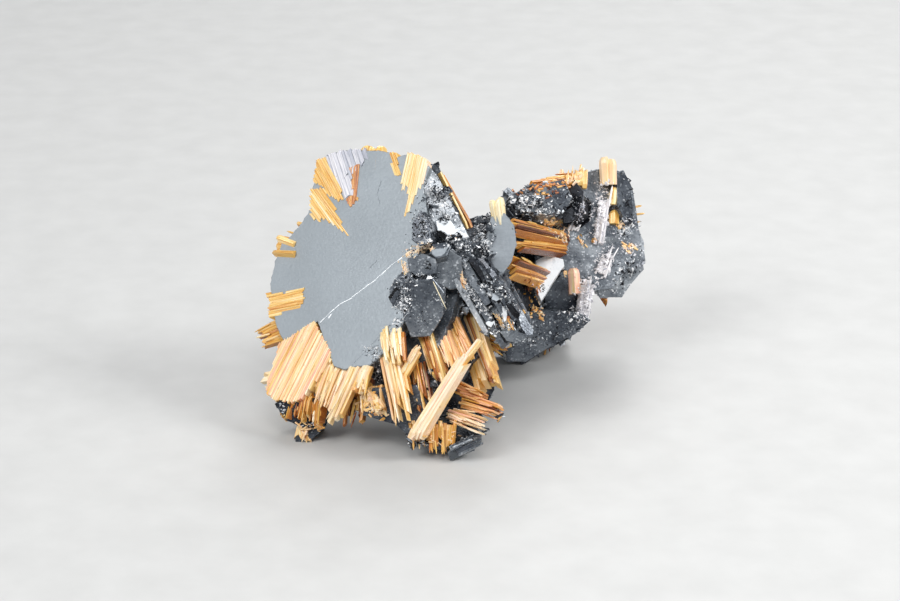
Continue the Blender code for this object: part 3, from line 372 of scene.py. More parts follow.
# Rutile that lies level with the front plate's face: outline as seen, which way its strips run,
# tone, pinkness, width of its strips and how deep they go.
PATCHES = {
    "golden_upper": (
        [(-9.5, 10.0), (-8.74, 10.2), (-8.45, 9.21), (-7.96, 8.23), (-7.51, 7.25), (-8.05, 7.15),
         (-8.64, 7.55), (-9.03, 8.1), (-9.75, 8.5)],
        (0.47, -0.88), 0.3, 0.15, 0.16, 0.6),
    "golden_lower": (
        [(-9.95, 7.9), (-9.03, 8.0), (-8.45, 7.06), (-8.05, 6.18), (-7.66, 5.39), (-7.17, 4.61),
         (-7.66, 4.9), (-8.45, 5.49), (-9.03, 5.88), (-9.33, 5.59), (-9.9, 6.0), (-9.95, 6.96)],
        (0.59, -0.81), 0.34, 0.1, 0.16, 0.6),
    "orange": (
        [(-7.17, 9.41), (-6.49, 9.7), (-6.54, 8.53), (-6.63, 7.15), (-7.17, 6.66), (-7.37, 7.25),
         (-6.88, 7.55), (-7.07, 8.53)],
        (-0.1, -1.0), 0.46, 0.15, 0.14, 0.4),
    "strip": (
        [(-4.35, 10.5), (-3.8, 10.5), (-3.55, 8.92), (-3.94, 8.87)],
        (0.35, -0.94), 0.34, 0.0, 0.16, 0.6),
    "pale_spear": (
        [(-2.96, 10.5), (-2.27, 10.3), (-1.6, 9.95), (-1.78, 8.92), (-1.98, 8.23), (-2.37, 7.74),
         (-2.76, 6.76), (-3.2, 5.88), (-3.25, 6.37), (-3.01, 7.55), (-3.06, 8.13), (-3.55, 7.84),
         (-3.4, 8.62), (-3.25, 9.51)],
        (-0.22, -0.97), 0.14, 0.15, 0.15, 0.6),
    "left": (
        [(-10.45, 0.89), (-10.45, 0.2), (-10.7, -0.49), (-11.58, -0.78), (-12.9, -1.2),
         (-12.95, -0.68), (-12.8, -0.09), (-13.1, 0.49), (-11.78, 0.54), (-10.99, 0.79)],
        (0.98, 0.2), 0.32, 0.1, 0.18, 0.8),
    "wedge": (
        [(-9.73, -1.48), (-9.14, -2.55), (-8.56, -3.6), (-8.5, -4.2), (-9.91, -6.2), (-10.79, -7.13),
         (-11.59, -7.28), (-12.46, -7.13), (-13.1, -6.67), (-13.0, -5.4), (-12.6, -4.48),
         (-12.22, -3.08), (-11.3, -2.55), (-10.4, -1.9)],
        (-0.45, -0.89), 0.18, 1.6, 0.14, 1.0),
}  # fmt: skip
SILVER_PATCH = (
    [(-8.84, 10.2), (-8.45, 10.5), (-7.27, 10.7), (-6.1, 10.75), (-5.8, 10.35), (-6.19, 9.7),
     (-6.63, 9.51), (-7.07, 8.53), (-6.88, 7.55), (-7.17, 7.25), (-7.56, 7.55), (-8.05, 8.33),
     (-8.54, 9.31)],
    (0.31, -0.95), 0.62, 0.0, 0.3, 0.6)  # fmt: skip
# How long the bars of a patch are, where they aren't short.
LONG_BARS = {"wedge": (7.0, 12.0), "pale_spear": (3.0, 6.0)}
SHORT_BARS = (1.6, 5.0)
# The sheaves whose place these patches take.
PATCHED = ["top_left", "top_left_low", "top_silver", "top_strip", "top_right", "left_patch",
           "wedge_left", "wedge_right"]
# How bright each block's faces are painted: 0 is nearly black, 1 is bright silver; partly the
# hematite's own steel grey, partly painted reflection of what each face mirrors.
SHADE = {
    "side_bevel": 0.76, "eye_crystal": 0.34, "grey_facet": 0.56, "dark_facet": 0.46,
    "broken_corner": 0.5, "round_facet": 0.34, "blue_facet": 0.42, "under_plate": 0.36,
    "brown_corner": 0.2, "left_foot": 0.3, "low_middle": 0.36, "right_shoulder": 0.22, "neck": 0.24,
    "rear_bridge": 0.46, "rear_plate": 0.5, "rear_second": 0.5, "rear_dark": 0.06,
    "rear_right_facet": 0.4, "rear_lump": 0.62, "lower_lobe": 0.62, "blue_block": 0.3,
    "rear_low": 0.42, "rear_foot": 0.4,
}  # fmt: skip
# Smooth crystals with a satin face, from 0 for dark grey to 1 for white; the white blade's white
# is painted reflection.
SATIN = {"grey_tablet": 0.62, "white_blade": 1.0, "low_tablet": 0.1}
# How bright each dark leaf is painted, partly as painted reflection, and the pink, strand width and
# unevenness that they share.
LEAF_SHADES = [0.56, 0.48, 0.52, 0.12, 0.36]
LEAF_LOOK = (0.0, 0.6, 0.8)
# How bright the plates behind the first are, and how bright the big face is.
STACK_SHADE = 0.42
FACE_SATIN = 0.5

# Small smooth facets on the broken parts: outline as seen, the way each one faces, and how bright
# it is, from 0 for black to 1 for white: partly the hematite's own dark grey, partly painted
# reflection, the white ones a lamp's glare and the black ones a dark reflection.
FACETS = [
    ([(-1.03, 5.68), (-0.63, 5.83), (0.03, 5.76), (0.26, 5.49), (0.43, 5.14), (0.72, 4.83),
      (0.39, 4.66), (0.04, 4.54), (-0.26, 4.74), (-0.63, 4.99), (-0.92, 4.99)],
     aim(0.3, 0.3, 0.9), 0.88),
    ([(-1.03, 4.96), (-0.63, 4.96), (-0.26, 4.7), (0.04, 4.51), (0.39, 4.63), (0.94, 4.66),
      (0.87, 4.4), (0.1, 4.3), (-0.48, 4.4), (-0.92, 4.6)], aim(0.2, -0.2, 0.95), 0.02),
    ([(-1.79, 2.0), (-1.65, 2.2), (-1.43, 2.22), (-1.3, 2.0), (-1.36, 1.8), (-1.17, 1.5),
      (-1.3, 1.38), (-1.5, 1.5), (-1.72, 1.46), (-1.62, 1.75)],
     aim(-0.2, 0.2, 0.95), 1.0),
    ([(-1.36, 3.61), (-0.92, 3.75), (-0.34, 3.75), (-0.04, 3.9), (-0.34, 3.39), (-0.63, 3.13),
      (-1.06, 3.13), (-1.32, 3.32)], aim(0.0, 0.4, 0.9), 0.62),
    ([(3.71, -0.37), (3.93, -0.26), (4.11, -0.91), (4.04, -1.42), (3.86, -1.57), (3.75, -0.98)],
     aim(0.2, 0.2, 0.95), 1.0),
    ([(1.41, 3.46), (1.78, 3.24), (1.74, 3.02), (1.49, 3.1)], aim(0.2, 0.4, 0.9), 0.95),
    ([(2.5, -1.6), (2.7, -1.42), (3.0, -1.5), (3.2, -1.42), (3.28, -1.8), (3.05, -1.75),
      (2.95, -1.95), (2.7, -1.85)], aim(0.0, 0.1, 1.0), 0.95),
    ([(5.09, -0.58), (6.0, -2.1), (5.93, -2.5), (5.5, -2.5), (5.06, -1.93), (4.91, -1.2)],
     aim(0.4, 0.2, 0.85), 0.5),
    ([(3.5, -2.2), (4.48, -2.1), (5.7, -2.5), (4.84, -3.1), (4.04, -2.9)], aim(0.0, -0.3, 0.95), 0.52),
    ([(1.27, 2.95), (1.71, 3.02), (2.87, 1.35), (2.73, 1.09), (2.36, 1.27)],
     aim(0.3, 0.1, 0.9), 0.0),
    ([(0.98, 2.22), (1.56, 2.08), (2.58, 0.62), (2.94, -0.18), (2.51, -0.4), (1.85, 0.62),
      (1.41, 1.13)], aim(0.1, 0.1, 0.98), 0.5),
    ([(3.97, -0.26), (4.4, -0.18), (5.06, -1.06), (4.84, -1.35), (4.4, -1.06)],
     aim(0.3, 0.1, 0.9), 0.0),
    ([(1.92, 3.1), (2.36, 3.02), (3.53, 1.64), (3.24, 1.35), (2.73, 1.78)],
     aim(0.5, 0.2, 0.8), 0.26),
    ([(-4.45, 0.22), (-3.87, 0.98), (-3.74, 0.84), (-4.34, 0.0)], aim(-0.5, 0.1, 0.8), 0.0),
    ([(-4.34, 0.0), (-3.8, 0.84), (-3.54, 0.62), (-3.98, -0.18), (-4.05, -0.5)],
     aim(-0.3, 0.0, 0.9), 0.36),
    ([(3.0, 0.5), (3.6, 0.6), (3.8, 0.2), (3.3, -0.1), (2.95, 0.1)], aim(0.1, 0.3, 0.9), 0.66),
    ([(-0.1, -10.43), (1.19, -9.82), (2.33, -9.67), (2.1, -10.0), (1.19, -10.2), (0.05, -10.74)],
     aim(0.0, 0.5, 0.86), 0.58),
    ([(8.0, 6.3), (8.7, 6.7), (9.2, 6.2), (8.8, 5.6), (8.1, 5.5)], aim(0.1, 0.3, 0.9), 0.1),
]  # fmt: skip
# Where the surface glitters: a stretch as seen, how far it spreads, shards, their size, shade.
GLITTER = [
    ((-1.69, 8.5), (0.3, 5.2), 0.3, 550, 0.15, 0.97),
    ((-1.85, 7.6), (-1.25, 6.1), 0.12, 80, 0.18, 0.2),
    ((-0.9, 9.0), (0.6, 6.2), 0.25, 130, 0.18, 0.1),
    ((-2.3, 6.1), (-1.94, 4.5), 0.36, 340, 0.16, 0.42),
    ((-0.2, 4.2), (1.4, 3.75), 0.28, 300, 0.18, 1.03),
    ((-3.1, 3.32), (-1.4, 4.4), 0.14, 110, 0.16, 0.95),
    ((-3.62, 1.1), (-3.15, -0.7), 0.36, 460, 0.16, 0.87),
    ((-2.81, 1.49), (-1.79, 1.78), 0.16, 110, 0.14, 0.87),
    ((-1.75, 2.9), (-1.5, 2.3), 0.14, 50, 0.18, 0.15),
    ((-3.6, -1.3), (-4.2, -3.0), 0.18, 110, 0.2, 1.03),
    ((1.85, 5.7), (2.5, 3.2), 0.26, 380, 0.18, 0.83),
    ((1.05, 1.2), (2.87, -1.06), 0.2, 300, 0.18, 1.07),
    ((1.05, 3.1), (1.2, 2.4), 0.12, 60, 0.16, 1.1),
    ((2.2, 0.7), (3.9, 0.7), 0.4, 210, 0.2, 0.85),
    ((3.2, -1.5), (4.7, -2.4), 0.36, 400, 0.18, 0.87),
    ((3.4, 1.2), (5.7, -1.9), 0.14, 130, 0.18, 0.4),
    ((2.0, 2.4), (4.4, -0.6), 0.3, 130, 0.16, 0.5),
    ((-2.5, -1.0), (-1.5, -1.3), 0.4, 100, 0.1, 0.42),
    ((-0.8, 0.4), (-0.4, -0.5), 0.25, 60, 0.12, 0.8),
    ((-0.4, 2.4), (0.4, 1.4), 0.45, 40, 0.08, 0.91),
    ((-5.69, -3.46), (-4.96, -4.05), 0.3, 180, 0.14, 0.91),
    ((-5.17, -4.63), (-5.17, -5.72), 0.2, 160, 0.16, 0.83),
    ((-1.9, -5.3), (-1.7, -6.0), 0.35, 161, 0.18, 0.22),
    ((-2.5, -10.1), (0.1, -10.4), 0.3, 260, 0.165, 0.45),
    ((0.7, -10.0), (1.8, -9.9), 0.2, 80, 0.2, 0.5),
    ((0.6, -8.3), (1.2, -7.7), 0.4, 124, 0.18, 0.35),
    ((2.6, -9.0), (3.4, -9.0), 0.3, 60, 0.2, 0.5),
    ((-10.2, -8.6), (-9.0, -8.9), 0.35, 310, 0.165, 0.4),
    ((-12.3, -7.6), (-11.5, -7.7), 0.3, 105, 0.165, 0.35),
    ((4.6, 6.4), (6.8, 6.9), 0.45, 260, 0.28, 0.62),
    ((4.8, 7.7), (7.6, 6.2), 0.3, 170, 0.25, 0.9),
    ((7.8, 7.8), (9.2, 6.6), 0.5, 150, 0.23, 0.3),
    ((6.3, 1.5), (6.5, 0.3), 0.3, 90, 0.18, 0.5),
    ((10.0, 1.4), (9.4, -1.1), 0.35, 200, 0.23, 0.85),
    ((12.9, 5.6), (12.2, 4.9), 0.3, 110, 0.28, 0.85),
    ((13.4, 3.0), (11.7, 1.5), 0.4, 150, 0.25, 0.75),
    ((12.9, 8.5), (12.6, 6.9), 0.4, 60, 0.23, 0.45),
    ((5.0, -2.4), (9.0, -2.3), 0.6, 220, 0.18, 0.5),
    ((8.3, -0.9), (9.4, -1.8), 0.4, 60, 0.23, 0.7),
]
# Rough pale streaks on the rear face: a stretch as seen, how far they spread, bits, size, shade.
STREAKS = [
    ((10.92, 8.4), (10.5, 4.6), 0.28, 420, 0.24, 1.14),
    ((9.44, 6.9), (9.03, 5.4), 0.18, 110, 0.2, 0.85),
    ((11.16, 3.7), (10.83, 2.1), 0.32, 220, 0.24, 1.14),
    ((10.0, 1.5), (9.4, -1.1), 0.36, 330, 0.24, 1.1),
    ((11.9, 5.1), (12.0, 4.6), 0.2, 40, 0.2, 0.85),
    ((12.5, 3.8), (13.1, 3.6), 0.25, 50, 0.22, 0.85),
    ((12.8, 5.6), (13.0, 5.5), 0.25, 36, 0.22, 0.75),
    ((13.4, 2.7), (13.6, 2.4), 0.3, 36, 0.22, 0.7),
    ((6.73, 5.5), (8.2, 4.1), 0.07, 60, 0.14, 0.9),
]
# Golden slivers and crumbs: a stretch as seen, how far they spread, how many, their size, tone.
CRUMBS = [
    ((-3.25, 3.3), (-1.4, 3.9), 0.16, 90, 0.12, -0.06),
    ((-3.32, 2.7), (-3.2, 1.9), 0.12, 40, 0.11, 0.02),
    ((0.85, 1.9), (1.05, 1.05), 0.08, 36, 0.13, 0.04),
    ((3.38, -1.06), (4.26, -2.3), 0.14, 50, 0.15, 0.24),
    ((4.1, -1.2), (4.5, -1.9), 0.1, 24, 0.14, 0.46),
    ((-0.3, 5.0), (0.4, 4.5), 0.1, 6, 0.1, 0.5),
    ((-6.2, -6.3), (-4.9, -8.0), 0.3, 34, 0.46, 0.16),
    ((-6.5, -7.6), (-5.2, -7.4), 0.2, 10, 0.44, 0.22),
    ((5.9, 7.9), (8.0, 8.6), 0.25, 26, 0.3, 0.64),
    ((6.4, 7.5), (7.8, 8.0), 0.25, 12, 0.26, 0.56),
    ((6.9, 5.6), (8.2, 5.5), 0.2, 60, 0.24, 0.22),
    ((7.9, 5.0), (8.2, 4.5), 0.2, 30, 0.22, 0.12),
    ((12.1, 5.5), (12.15, 5.2), 0.15, 18, 0.26, 0.24),
    ((8.2, 2.0), (8.3, 1.8), 0.1, 6, 0.2, 0.3),
    ((9.28, 4.5), (9.36, 3.9), 0.15, 14, 0.22, 0.3),
    ((10.2, 4.4), (10.3, 4.2), 0.1, 6, 0.2, 0.3),
    ((12.5, 3.9), (13.0, 3.7), 0.2, 18, 0.28, 0.06),
    ((8.5, 8.5), (9.4, 9.1), 0.2, 30, 0.28, 0.12),
    ((5.6, 1.8), (6.0, 0.4), 0.3, 36, 0.22, 0.62),
    ((5.7, -0.5), (6.5, -1.0), 0.25, 36, 0.26, 0.3),
    ((4.3, 8.0), (5.0, 7.8), 0.2, 14, 0.2, 0.6),
    ((-2.4, -9.8), (0.2, -10.0), 0.35, 30, 0.16, 0.1),
    ((-10.2, -8.8), (-9.4, -9.0), 0.3, 24, 0.18, 0.3),
    ((-10.4, -9.2), (-10.2, -10.4), 0.14, 20, 0.24, 0.1),
    ((2.8, -8.9), (3.7, -8.9), 0.25, 30, 0.16, 0.2),
    ((-5.8, -8.0), (-4.6, -8.0), 0.2, 20, 0.2, 0.3),
]
BACK_SHARDS = 4600
# Facets brighter than this look satin.
SATIN_FROM = 0.6
# How the shade of one shard differs from its neighbours': the high steps paint shards white as
# painted glints, the low ones near black.
GLITTER_STEPS = [-0.75, -0.5, -0.15, 0.25, 0.5]
# Thin raised lines on the big face, the palest painted white as glints on their ridges: corners as
# seen, width, satin.
LINES = [
    ([(-3.4, 3.1), (-4.2, 2.5), (-5.3, 1.5), (-6.1, 0.9), (-7.0, 0.2), (-7.9, -0.3), (-8.6, -0.9),
      (-9.3, -1.6)], 0.07, 0.95),
    ([(-8.7, -1.3), (-8.45, -0.98)], 0.12, 0.9),
    ([(-5.2, 2.9), (-5.7, 2.3)], 0.05, 0.42),
    ([(-4.9, 8.6), (-5.2, 7.6), (-5.0, 6.9)], 0.04, 0.44),
    ([(-3.6, -1.2), (-5.6, -3.1), (-7.0, -4.6)], 0.04, 0.62),
    ([(-3.0, -0.9), (-4.3, -2.4)], 0.04, 0.7),
]
# The sheaves of short blunt stubs, how a stub narrows along its length, and its half width.
NUBS = ["top_nubs", "left_nubs", "rear_crown", "rear_nub_upper", "rear_nub_lower", "pink_nub",
        "grey_tablet_nub"]
NUB_STEPS = [(0.0, 1.0), (0.78, 1.0), (0.92, 0.86), (1.0, 0.6)]
NUB_WIDTH = 0.6
# How thin slivers and blunt ones narrow along their length.
THIN_STEPS = ((0.0, 0.6), (0.15, 1.0), (0.8, 0.9), (1.0, 0.25))
BLUNT_STEPS = ((0.0, 0.8), (0.08, 1.0), (0.92, 1.0), (1.0, 0.75))
# How much painted shade darkens the narrow sides of the strands, and how strands differ in tone.
NARROW_SIDE_SHADE = 0.14
STRAND_TONES = [-0.14, -0.08, -0.02, 0.02, 0.08, 0.28]
NEEDLE = ((-1.21, 1.36), (-0.26, -0.62), 0.07)
# The ridged dark blade at the lower front: one lath, as its ends, sizes and flat side, and its look.
BLADE = (seen(0.1, -10.85, 1.6), seen(2.4, -9.8, 1.6), 0.95, 0.6, aim(0.1, 0.3, 0.95), 0.3)
BLADE_LOOK = (0.44, 0.0, 0.15, 1.2)


def add_object(name, data):
    """A new object in the scene."""
    made = bpy.data.objects.new(name, data)
    bpy.context.scene.collection.objects.link(made)
    return made


def held(value):
    """The value, kept between 0 and 1."""
    return min(1.0, max(0.0, value))


class Surface:
    """Points, faces and their marks, gathered before they become one mesh object."""

    def __init__(self):
        self.points = []
        self.faces = []
        self.marks = []
        self.tints = []
        self.spots = []

    def loft(self, rings, mark, tint=0.0, spots=None):
        """A closed solid through these rings of points. spots are each ring's places in the pattern."""
        first = len(self.points)
        count = len(rings[0])
        for ring in rings:
            self.points.extend(ring)
        spots = spots or [[(0.0, 0.0)] * count for _ in rings]
        for level in range(len(rings) - 1):
            upper, lower = first + level * count, first + (level + 1) * count
            for i in range(count):
                j = (i + 1) % count
                self.faces.append((upper + i, upper + j, lower + j, lower + i))
                here, below = spots[level], spots[level + 1]
                step = here[i][0] + (here[1][0] - here[0][0]) if j == 0 else here[j][0]
                self.spots.append([here[i], (step, here[j][1]), (step, below[j][1]), below[i]])
        last = first + (len(rings) - 1) * count
        self.faces.append(tuple(range(first + count - 1, first - 1, -1)))
        self.faces.append(tuple(range(last, last + count)))
        for level in (0, -1):
            self.spots.append([spots[level][0]] * count)
        self.color(mark, tint)

    def add(self, points, faces, mark, tint=0.0, spot=(0.0, 0.0)):
        """Any closed solid, all at one place in the pattern."""
        first = len(self.points)
        self.points.extend(points)
        for face in faces:
            self.faces.append(tuple(first + i for i in face))
            self.spots.append([spot] * len(face))
        self.color(mark, tint)

    def color(self, mark, tint):
        """Marks the faces that have no mark yet."""
        fresh = len(self.faces) - len(self.marks)
        self.marks.extend([held(mark)] * fresh)
        self.tints.extend([held(tint)] * fresh)

    def shade_sides(self, corners, sides, levels, change):
        """Paints shade on some sides of the solid that was lofted last, by changing their marks."""
        first = len(self.marks) - levels * corners - 2
        for level in range(levels):
            for side in sides:
                i = first + level * corners + side
                self.marks[i] = held(self.marks[i] + change)

    def finish(self, name, material, slot):
        """Makes the mesh object, cut off level with the floor."""
        mesh = bpy.data.meshes.new(name)
        mesh.from_pydata([point * MM for point in self.points], [], self.faces)
        for label, values in (("mark", self.marks), ("tint", self.tints)):
            layer = mesh.attributes.new(label, "FLOAT", "FACE")
            layer.data.foreach_set("value", values)
        pattern = mesh.uv_layers.new(name="pattern")
        pattern.data.foreach_set("uv", [v for face in self.spots for spot in face for v in spot])
        shape = bmesh.new()
        shape.from_mesh(mesh)
        bmesh.ops.recalc_face_normals(shape, faces=shape.faces)
        cut = bmesh.ops.bisect_plane(
            shape, geom=shape.verts[:] + shape.edges[:] + shape.faces[:], dist=1e-9,
            plane_co=(0, 0, 0), plane_no=(0, 0, 1), clear_inner=True,
        )  # fmt: skip
        rims = [e for e in cut["geom_cut"] if isinstance(e, bmesh.types.BMEdge)]
        if rims:
            bmesh.ops.edgeloop_fill(shape, edges=rims)
        shape.to_mesh(mesh)
        shape.free()
        piece = add_object(name, mesh)
        mesh.materials.append(material)
        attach(piece, "root")
        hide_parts(NODE_NAME)


class Sight:
    """What a line of sight or the nearest place meets: hematite or rutile."""

    def __init__(self, dark, gold):
        self.dark = self.tree(dark)
        self.gold = self.tree(gold)

    @staticmethod
    def tree(surfaces):
        """The faces of several surfaces, ready for rays."""
        points, faces = [], []
        for surface in surfaces:
            first = len(points)
            points.extend(surface.points)
            faces.extend(tuple(first + i for i in face) for face in surface.faces)
        return BVHTree.FromPolygons(points, faces)

    @staticmethod
    def meet(tree, x, y):
        """Where the line of sight through x, y meets these faces, its facing and the distance."""
        ray = (seen(x, y, 0.0) - EYE).normalized()
        place, facing, _, reach = tree.ray_cast(EYE, ray)
        if place is not None and not facing.dot(ray) < 0:
            facing = -facing
        return place, facing, reach

    def look(self, x, y):
        """Where the line of sight through x, y meets hematite, unless rutile hides it."""
        place, facing, reach = self.meet(self.dark, x, y)
        veil, _, veil_reach = self.meet(self.gold, x, y)
        if place is None or (veil is not None and veil_reach < reach):
            return None, None
        return place, facing

    def any_hit(self, x, y):
        """Where the line of sight through x, y meets anything."""
        hits = [self.meet(tree, x, y) for tree in (self.dark, self.gold)]
        hits = [hit for hit in hits if hit[0] is not None]
        if not hits:
            return None, None
        place, facing, _ = min(hits, key=lambda hit: hit[2])
        return place, facing


# Laths and their strands. How far strands overlap, how much their outer corners fall, how far
# their ends stagger, how many break off short, the least chisel, and how far an end rolls over.
STRAND_OVERLAP = 1.06
EDGE_FALL = 0.18
STAGGER = 0.3
BREAK_CHANCE = 0.1
LEAST_CHISEL = 0.1
END_ROLL = 0.5
# The points on each flat side of a strand, and which of its sides are the narrow ones.
SIDE_POINTS = 4
NARROW_SIDES = (3, 7)
# How much the tone of laths, strands and stubs differs, and the size of the materials' patterns.
TONE_SPREAD = 0.05
PATTERN_SPAN = 40
# A sliver's section and a stub's corners and thickness.
SLIVER_SECTION = ((-1, -0.4), (-0.6, 1), (0.6, 1), (1, -0.4))
NUB_CORNERS = 6
NUB_THICKNESS = 0.55
# How high the bars of a patch stand, how much lower their edges are, and how pink they get.
PATCH_RISE = 0.07
BAR_CROWN = 0.03
PATCH_PINK = 2.4
# How far a plate's layers stand back, how rough they are, and half the groove between two.
LAYER_PULL = 0.16
LAYER_ROUGH = 0.04
GROOVE = 0.004


def lath_axes(root, tip, flat):
    """The directions along, across and out of a lath, and its length."""
    along = (tip - root).normalized()
    across = flat.cross(along).normalized()
    return along, across, along.cross(across), (tip - root).length


def pattern_place(dice):
    """A random place in a material's pattern."""
    return dice.uniform(0, PATTERN_SPAN), dice.uniform(0, PATTERN_SPAN)


def any_way(dice):
    """A random direction."""
    return Vector([dice.gauss(0, 1) for _ in range(3)]).normalized()


def end_shift(slopes, step, height, half):
    """How far back a strand's slanting end stands at a point of its section."""
    slant = abs(slopes[0]) * (half + step * half * math.copysign(1, slopes[0]))
    return slant + max(0.0, slopes[1] * height * END_ROLL)


def striated_lath(surface, root, tip, width, thickness, flat, chisel, look, dice):
    """One lath as a bundle of narrow ridged strands with staggered, slanting ends."""
    tone, pink, strand, uneven = look
    along, across, out, length = lath_axes(root, tip, flat)
    # How strongly the narrow sides are darkened with painted shade.
    dark = min(1.0, 0.4 + uneven)
    count = max(1, round(width / strand))
    half = width / count / 2
    lath_tone = dice.gauss(0, TONE_SPREAD)
    for i in range(count):
        place = -1 + (2 * i + 1) / count
        cut = width * (LEAST_CHISEL + (chisel - LEAST_CHISEL) * (place + 1) / 2)
        stop = length - cut - length * STAGGER * uneven * dice.random() ** 4
        if dice.random() < BREAK_CHANCE * uneven:
            stop *= dice.uniform(0.45, 0.9)
        level = 1 - uneven * dice.uniform(0.0, 0.3)
        ridges = [1 - uneven * dice.uniform(0.0, 0.16) for _ in range(SIDE_POINTS)]
        drop = uneven * dice.uniform(0.0, 0.25) if dice.random() < 0.5 else 0.0
        change = stop * dice.uniform(0.4, 0.9)
        drift = uneven * dice.gauss(0, 0.015)
        slopes = dice.uniform(-1.4, 1.4), dice.uniform(-0.6, 1.4)
        offset = pattern_place(dice)
        rings, spots = [], []
        lead = min(uneven * dice.uniform(0.0, 0.6), length * 0.15)
        rise = lead + min(0.5, length * 0.15)
        steps = ((lead, 0.5), (rise, 1.0), (change, 1.0), (change + 0.03, 1 - drop), (stop, 1 - drop))
        for s, scale in steps:
            taper = 1 - (1 - LATH_TAPER) * s / length
            ring, spot = [], []
            for side in (1, -1):
                for k, ridge in enumerate(ridges):
                    step = (-1 + 2 * k / (SIDE_POINTS - 1)) * side
                    a = (place * width / 2 + step * half * STRAND_OVERLAP) * taper + drift * s
                    a = max(-width / 2, min(width / 2, a))
                    edge = 1 - EDGE_FALL * min(1.0, uneven) if k in (0, SIDE_POINTS - 1) else 1.0
                    o = side * thickness / 2 * level * ridge * edge * scale * taper
                    shift = end_shift(slopes, step, o + thickness / 2, half) if s == stop else 0.0
                    ring.append(root + along * (s - shift) + across * a + out * o)
                    spot.append((offset[0] + a + side * 3, offset[1] + s))
            rings.append(ring)
            spots.append(spot)
        strand_tone = tone + lath_tone + dice.choice(STRAND_TONES) + dice.gauss(0, TONE_SPREAD)
        surface.loft(rings, strand_tone, pink * dice.uniform(0.0, 2.0), spots)
        # Painted shade on the narrow sides of the strand.
        surface.shade_sides(2 * SIDE_POINTS, NARROW_SIDES, len(rings) - 1, NARROW_SIDE_SHADE * dark)


def nub(surface, lath, look, dice):
    """A short blunt crystal with a slanting end."""
    root, tip, width, thickness, flat, _ = lath
    along, across, out, length = lath_axes(root, tip, flat)
    bulges = [dice.uniform(0.85, 1.1) for _ in range(NUB_CORNERS)]
    slant = dice.uniform(-0.4, 0.4)
    offset = pattern_place(dice)
    rings, spots = [], []
    for share, size in NUB_STEPS:
        ring, spot = [], []
        for k, bulge in enumerate(bulges):
            angle = math.tau * (k + 0.5) / NUB_CORNERS
            a = math.cos(angle) * size * bulge
            o = math.sin(angle) * thickness * NUB_THICKNESS * size * bulge
            reach = share * (length - abs(slant) * width + slant * width * a)
            ring.append(root + along * reach + across * (a * width * NUB_WIDTH) + out * o)
            spot.append((offset[0] + angle / math.tau * width * 2, offset[1] + length * share))
        rings.append(ring)
        spots.append(spot)
    tone, pink = look[0] + dice.gauss(0, TONE_SPREAD), look[1] * dice.uniform(0.5, 1.5)
    surface.loft(rings, tone, pink, spots)


def splinter(surface, root, tip, width, thickness, flat, tone, pink, dice, steps=THIN_STEPS):
    """A thin sliver that narrows to both ends."""
    _, across, _, length = lath_axes(root, tip, flat)
    offset = pattern_place(dice)
    rings, spots = [], []
    for share, size in steps:
        ring, spot = [], []
        for a, o in SLIVER_SECTION:
            place = root.lerp(tip, share) + across * (a * width / 2 * size)
            ring.append(place + flat * (o * thickness / 2 * size))
            spot.append((offset[0] + a * width / 2, offset[1] + share * length))
        rings.append(ring)
        spots.append(spot)
    surface.loft(rings, tone, pink, spots)


def patch(surface, outline, along, tone, pink, strip, deep, dice, bars=SHORT_BARS):
    """Rutile level with the front face: parallel strips that fill an outline, with jagged ends."""
    corners = [on_stack(x, y, 0.0) for x, y in outline]
    origin = corners[0]
    toward = on_stack(outline[0][0] + along[0], outline[0][1] + along[1], 0.0)
    u = (toward - origin).normalized()
    v = STACK_NORMAL.cross(u)
    flat = [((c - origin).dot(u), (c - origin).dot(v)) for c in corners]
    place = min(q for _, q in flat)
    high = max(q for _, q in flat)
    while place < high:
        width = strip * dice.uniform(0.5, 1.5)
        middle = place + width / 2
        place += width
        crossings = sorted(
            a[0] + (b[0] - a[0]) * (middle - a[1]) / (b[1] - a[1])
            for a, b in zip(flat, flat[1:] + flat[:1])
            if (a[1] - middle) * (b[1] - middle) < 0
        )
        strip_tone = tone + dice.gauss(0, 0.1)
        strip_pink = pink * PATCH_PINK * dice.random() ** 2
        for start, stop in zip(crossings[::2], crossings[1::2]):
            while start < stop:
                end = min(stop, start + dice.uniform(*bars))
                root = origin + u * (start - dice.uniform(0.0, 0.08)) + v * middle
                tip = origin + u * (end + dice.uniform(-0.1, 0.12)) + v * middle
                top = PATCH_RISE * dice.uniform(0.2, 1.4)
                wide = width * STRAND_OVERLAP
                flat_bar(surface, root, tip, wide, top, deep, strip_tone, strip_pink, dice)
                start = end


def flat_bar(surface, root, tip, width, top, deep, tone, pink, dice):
    """A bar in the front plate whose upper side is a little crowned and whose ends slant."""
    along = (tip - root).normalized()
    across = STACK_NORMAL.cross(along)
    length = (tip - root).length
    slants = dice.uniform(-1.0, 1.0), dice.uniform(-1.0, 1.0)
    offset = pattern_place(dice)
    rings, spots = [], []
    low = top - BAR_CROWN
    section = ((-1, -deep), (-1, low), (-0.5, top), (0.5, top), (1, low), (1, -deep))
    for s, slant in ((0.0, slants[0]), (length, slants[1])):
        ring, spot = [], []
        for a, o in section:
            a *= width / 2
            ring.append(root + along * (s + slant * a) + across * a + STACK_NORMAL * o)
            spot.append((offset[0] + a, offset[1] + s))
        rings.append(ring)
        spots.append(spot)
    surface.loft(rings, tone, pink, spots)


def jagged(outline, jag, step, dice):
    """The outline with more points, each drawn in a little, as seen."""
    middle = sum((Vector(p) for p in outline), Vector((0, 0))) / len(outline)
    made = []
    drift = 0.0
    for i, start in enumerate(outline):
        start, end = Vector(start), Vector(outline[(i + 1) % len(outline)])
        count = max(1, round((end - start).length / step))
        for k in range(count):
            point = start.lerp(end, k / count)
            drift = 0.6 * drift + dice.uniform(-0.5, 0.5)
            pull = jag * min(1.0, abs(drift) + 0.5 * dice.random())
            made.append(point + (middle - point).normalized() * pull)
    return made


